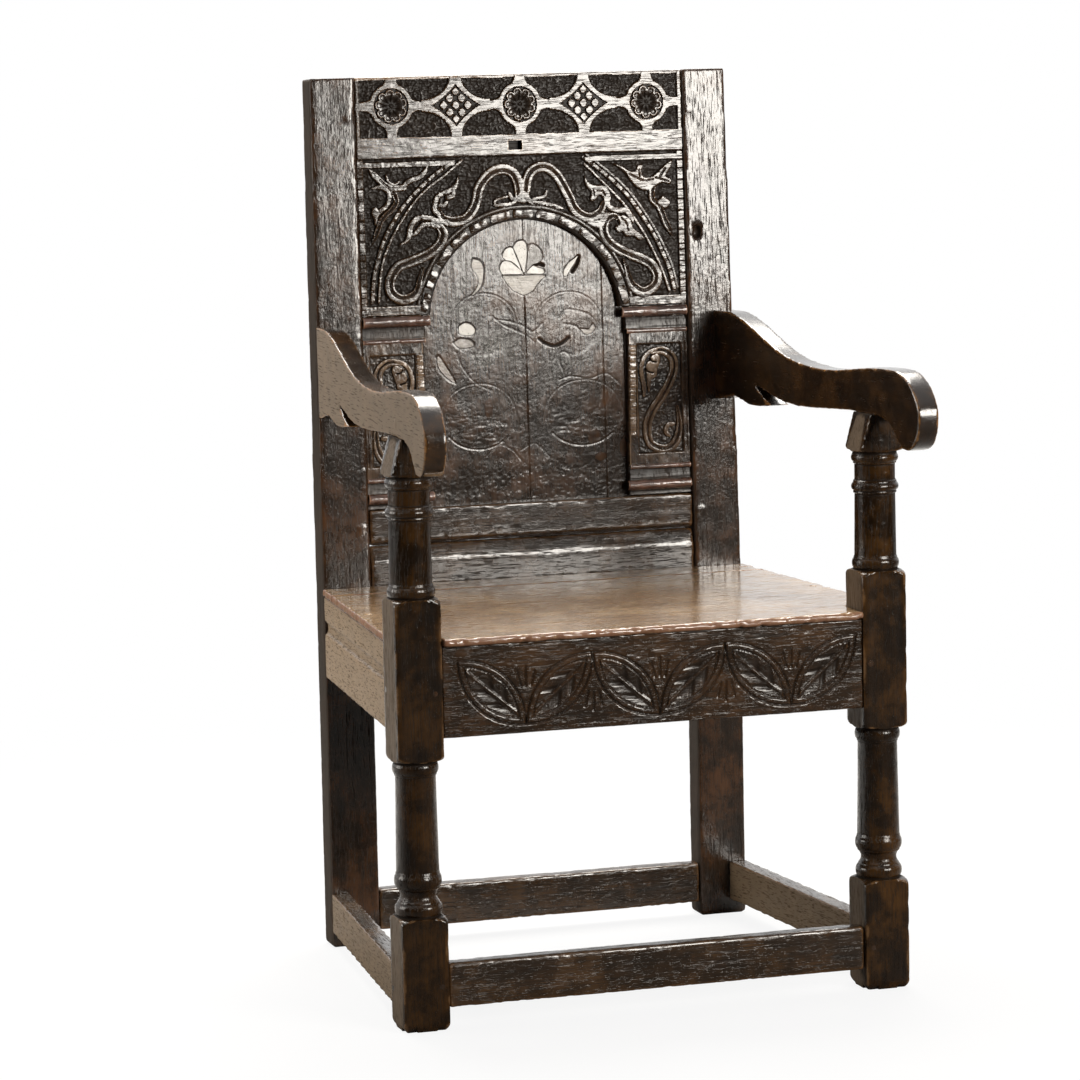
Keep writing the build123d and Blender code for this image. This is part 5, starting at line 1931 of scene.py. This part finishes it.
@dataclass
class PlainMembers:
    """The rails, stretchers, stiles, arms, mouldings and seat boards, rubbed at their edges."""

    # members given dry=LEFT have the faces towards the left painted in their finish's side light colour and
    # made matte
    stile: Working = Working("frame_oak", Grain.UPRIGHT, 2.6, ripple=0.4, chips=0.9, rub=2.6, dry=LEFT)
    arm: Working = Working("frame_oak", Grain.DEEP, 1.9, ripple=0.2, chips=0.4, rub=4.5, halo=14)
    side_rail: Working = Working("frame_oak", Grain.DEEP, 2.15, 2, ripple=0.4, chips=0.8, dry=LEFT)
    side_stretcher: Working = Working("frame_oak", Grain.DEEP, 2.4, 4, ripple=0.5, chips=1.2, dry=LEFT)
    moulding: Working = Working("panel_oak", Grain.ACROSS, 0.9, ripple=0.8, chips=1.2, rub=6.0)
    necking: Working = Working("panel_oak", Grain.ACROSS, 0.7, ripple=0.8, chips=1.2, rub=6.0)
    cross_rail: Working = Working("frame_oak", Grain.ACROSS)
    seat: Working = Working("seat_oak", Grain.ACROSS, 2.5, 4, ripple=0.25, chips=2.2, rub=7.0, halo=6,
                            dry=LEFT)

    def build(self, finishes: Mapping[str, bpy.types.Material]) -> None:
        """Makes each member.

        Args:
            finishes: materials by name.
        """
        seeds = itertools.count(101, 7)
        for side in ("left", "right"):
            arm = replace(self.arm, shape=ArmNose(side).round, dry=LEFT if side == "left" else self.arm.dry)
            for node, finish, working in (
                    ("rear_post_", "stile", self.stile), ("arm_", "arm", arm),
                    ("side_seat_rail_", "side", self.side_rail),
                    ("side_stretcher_", "low_side", self.side_stretcher),
                    ("capital_moulding_", "moulding", self.moulding),
                    ("base_moulding_", "moulding", self.moulding),
                    ("capital_necking_", "moulding", self.necking),
                    ("base_necking_", "moulding", self.necking)):
                working.build(node + side, finishes[finish], next(seeds))
        for node in ("front_stretcher", "rear_stretcher", "mid_back_rail", "rear_seat_rail"):
            self.cross_rail.build(node, finishes["rail"], next(seeds))
        for node in ("seat_board_front", "seat_board_rear"):
            self.seat.build(node, finishes["seat"], next(seeds))


# ---- studio ---------------------------------------------------------------------------
@dataclass(frozen=True)
class Lamp:
    """A soft rectangular lamp, in metres and watts."""

    name: str
    at: tuple[float, float, float]
    towards: tuple[float, float, float]
    size: tuple[float, float]
    power: float
    warmth: Colour = (1.0, 0.955, 0.885)

    def hang(self) -> None:
        """Hangs the lamp and turns it to the point it faces."""
        light = bpy.data.lights.new(self.name, "AREA")
        light.shape = "RECTANGLE"
        light.size, light.size_y = self.size
        light.energy = self.power
        light.color = self.warmth
        lamp = new_object(self.name, light)
        lamp.location = self.at
        lamp.rotation_euler = (Vector(self.towards) - Vector(self.at)).to_track_quat("-Z", "Y").to_euler()


@dataclass
class Studio:
    """Floor, lights, background and camera, in metres and degrees."""

    camera_at: tuple[float, float, float] = (-1.5176, -4.6579, 1.1361)
    turn: float = -17.244
    tilt: float = 7.234
    roll: float = -1.165
    lens: float = 142.06
    floor_reach: float = 12.0
    lamps: tuple[Lamp, ...] = (
        Lamp("window_right", (1.52, -2.75, 1.38), (0.1, 0.25, 0.85), (1.6, 1.2), 98.0),
        Lamp("window_left", (-3.0, 0.7, 1.3), (0.0, 0.0, 0.5), (1.8, 1.8), 49.0),
        Lamp("ceiling", (0.2, 1.5, 2.9), (0.0, 0.0, 0.5), (2.4, 2.0), 155.0))

    def build(self) -> None:
        """Sets the studio up."""
        self.world()
        self.floor()
        for lamp in self.lamps:
            lamp.hang()
        self.camera()
        bpy.context.scene.view_settings.view_transform = "Standard"

    def world(self) -> None:
        """White for the camera and reflections, dimmer as light."""
        world = bpy.data.worlds.new("studio")
        bpy.context.scene.world = world
        tree = Tree.of(world)
        way = tree.node("ShaderNodeTexCoord", output="Generated")
        behind, above = tree.axis(way, "Y"), tree.axis(way, "Z")
        room = (behind + above * 0.3).between(-0.05, 0.70) * 0.95 + 0.05
        overhead = room.math("MAXIMUM", above.between(0.45, 0.90) * 0.55)
        seen, gloss = tree.ray("Is Camera Ray"), tree.ray("Is Glossy Ray")
        strength = seen + (1.0 - seen) * (gloss * overhead + (1.0 - gloss) * (room * 0.36))
        background = tree.node("ShaderNodeBackground", None, {"Color": (1, 1, 1, 1), "Strength": strength})
        tree.end("ShaderNodeOutputWorld", background)

    def floor(self) -> None:
        """A pale floor that keeps the chair's shadow."""
        mesh = bpy.data.meshes.new("floor")
        corners = ((-1, -1), (1, -1), (1, 1), (-1, 1))
        mesh.from_pydata([(x * self.floor_reach, y * self.floor_reach, 0) for x, y in corners], [],
                         [(0, 1, 2, 3)])
        material = bpy.data.materials.new("pale_floor")
        tree = Tree.of(material)
        place = tree.node("ShaderNodeTexCoord", output="Object")
        seen = tree.ray("Is Camera Ray")
        away = tree.vector("LENGTH", {0: place}, "Value").between(0.7, 1.9)
        behind = tree.axis(place, "Y").between(-0.8, 1.2)
        pale = (seen * 0.8 + behind * 0.60 + 0.09).math("MINIMUM", 0.8)
        tint = tree.node("ShaderNodeCombineColor", None, {0: pale, 1: pale, 2: pale})
        paint = tree.node("ShaderNodeBsdfDiffuse", None, {"Color": tint})
        glow = tree.node("ShaderNodeEmission", None, {"Color": (1, 1, 1, 1), "Strength": 1.0})
        mixed = tree.node("ShaderNodeMixShader", None, {0: seen * (0.88 + away * 0.12), 1: paint, 2: glow})
        tree.end("ShaderNodeOutputMaterial", mixed)
        mesh.materials.append(material)
        floor = new_object("floor", mesh)

    def camera(self) -> None:
        """Sets the camera."""
        data = bpy.data.cameras.new("camera")
        data.lens = self.lens
        data.sensor_width = 36.0
        data.sensor_fit = "HORIZONTAL"
        turn, tilt, roll = (math.radians(angle) for angle in (self.turn, self.tilt, self.roll))
        ahead = Vector((-math.sin(turn) * math.cos(tilt), math.cos(turn) * math.cos(tilt), -math.sin(tilt)))
        level = Vector((math.cos(turn), math.sin(turn), 0))
        upward = level.cross(ahead)
        right = math.cos(roll) * level + math.sin(roll) * upward
        above = -math.sin(roll) * level + math.cos(roll) * upward
        camera = new_object("camera", data)
        camera.matrix_world = Matrix((
            (right.x, above.x, -ahead.x, self.camera_at[0]),
            (right.y, above.y, -ahead.y, self.camera_at[1]),
            (right.z, above.z, -ahead.z, self.camera_at[2]),
            (0, 0, 0, 1)))
        bpy.context.scene.camera = camera


def main() -> None:
    """Builds the chair and the studio."""
    # the dusty colours below are painted side light for the faces that look towards the left
    finishes = {
        "stile": OakFinish("oak_stile", Grain.UPRIGHT, body=(0.030, 0.0160, 0.0078),
                           glow=(0.125, 0.052, 0.019), warmth=0.65, wear=0.2, wrinkle=0.19,
                           lit_side_colour=(0.040, 0.030, 0.022), bare=0.95, bare_pores=0.5, shift=1.0).material(),
        "arm": OakFinish("oak_arm", Grain.DEEP, body=(0.014, 0.0062, 0.0018), glow=(0.150, 0.064, 0.013),
                         worn=(0.46, 0.22, 0.07), wear=0.7, roughness=0.21, streaks=0.2, pores=0.10,
                         warmth=0.36, wax=0.5, wrinkle=0.12, lit_side_colour=(0.250, 0.190, 0.135), pore_cut=0.585,
                         pore_scale=640.0, dash=0.04, furrow=0.03, shift=2.0).material(),
        "side": OakFinish("oak_side", Grain.DEEP, body=(0.085, 0.048, 0.022), glow=(0.22, 0.125, 0.055),
                          lit_side_colour=(0.350, 0.252, 0.160), streaks=0.5, shift=4.0).material(),
        "low_side": OakFinish("oak_low_side", Grain.DEEP, body=(0.070, 0.040, 0.018),
                              glow=(0.18, 0.100, 0.044), lit_side_colour=(0.235, 0.170, 0.108), streaks=0.6,
                              shift=4.4).material(),
        "moulding": OakFinish("oak_moulding", Grain.ACROSS, body=(0.085, 0.038, 0.026),
                              glow=(0.23, 0.112, 0.076), worn=(0.50, 0.30, 0.20), wear=0.8, roughness=0.24,
                              specular=1.0, streaks=0.25, warmth=0.9, wrinkle=0.45, wax=0.4,
                              shift=5.0).material(),
        "rail": OakFinish("oak_rail", Grain.ACROSS, shift=6.0).material(),
        "seat": OakFinish("oak_seat", Grain.ACROSS, heart=(0.150, 0.082, 0.036), body=(0.480, 0.300, 0.162),
                          glow=(0.59, 0.395, 0.215), worn=(0.24, 0.115, 0.062), wear=1.0, roughness=0.17,
                          lit_side_colour=(0.200, 0.145, 0.095), streaks=0.6, pores=0.7, warmth=0.8, wax=0.5,
                          furrow=0.04, shift=7.0).material(),
    }
    CrestRail(OakFinish("oak_crest", Grain.ACROSS, worn=(0.34, 0.19, 0.09), wear=0.7, streaks=0.25,
                        furrow=0.03, pores=0.5)).build()
    ArchBoard(OakFinish("oak_arch", Grain.ACROSS, wear=0.15, furrow=0.04, streaks=0.4, pores=0.5,
                        shift=0.5)).build()
    for side in (-1, 1):
        Pilaster(side, OakFinish("oak_pilaster", Grain.UPRIGHT, body=(0.034, 0.017, 0.009),
                                 glow=(0.19, 0.112, 0.062), worn=(0.38, 0.27, 0.18), warmth=0.8, wear=0.6,
                                 streaks=0.4, pores=0.4, furrow=0.03, shift=side * 0.3)).build()
        TurnedPost(side, OakFinish("oak_post", Grain.UPRIGHT, heart=(0.004, 0.0022, 0.0010),
                                   body=(0.020, 0.0095, 0.0030), glow=(0.14, 0.060, 0.012),
                                   worn=(0.20, 0.11, 0.05), warmth=0.36 + 0.06 * side, specular=0.42,
                                   roughness=0.14, streaks=0.6, furrow=0.03, lit_side_colour=(0.175, 0.130, 0.090),
                                   shift=side * 0.7)).build()
    PanelBoards(OakFinish("oak_panel", Grain.UPRIGHT, body=(0.038, 0.022, 0.012), glow=(0.135, 0.062, 0.027),
                          specular=0.66, wear=0.1, streaks=0.35, pores=0.35, furrow=0.012, wrinkle=0.12,
                          warmth=0.7, shift=0.9)).build()
    FrontRail(OakFinish("oak_front_rail", Grain.ACROSS, body=(0.034, 0.017, 0.007),
                        glow=(0.10, 0.044, 0.014), specular=0.6, shift=1.3)).build()
    PlainMembers().build(finishes)
    Inlays().build()
    for node, finish in (("frame_pegs", "stile"), ("arm_pegs", "stile"), ("seat_pegs", "seat")):
        PegHeads(node).build(finishes[finish])
    Studio().build()


if __name__ == "__main__":
    main()
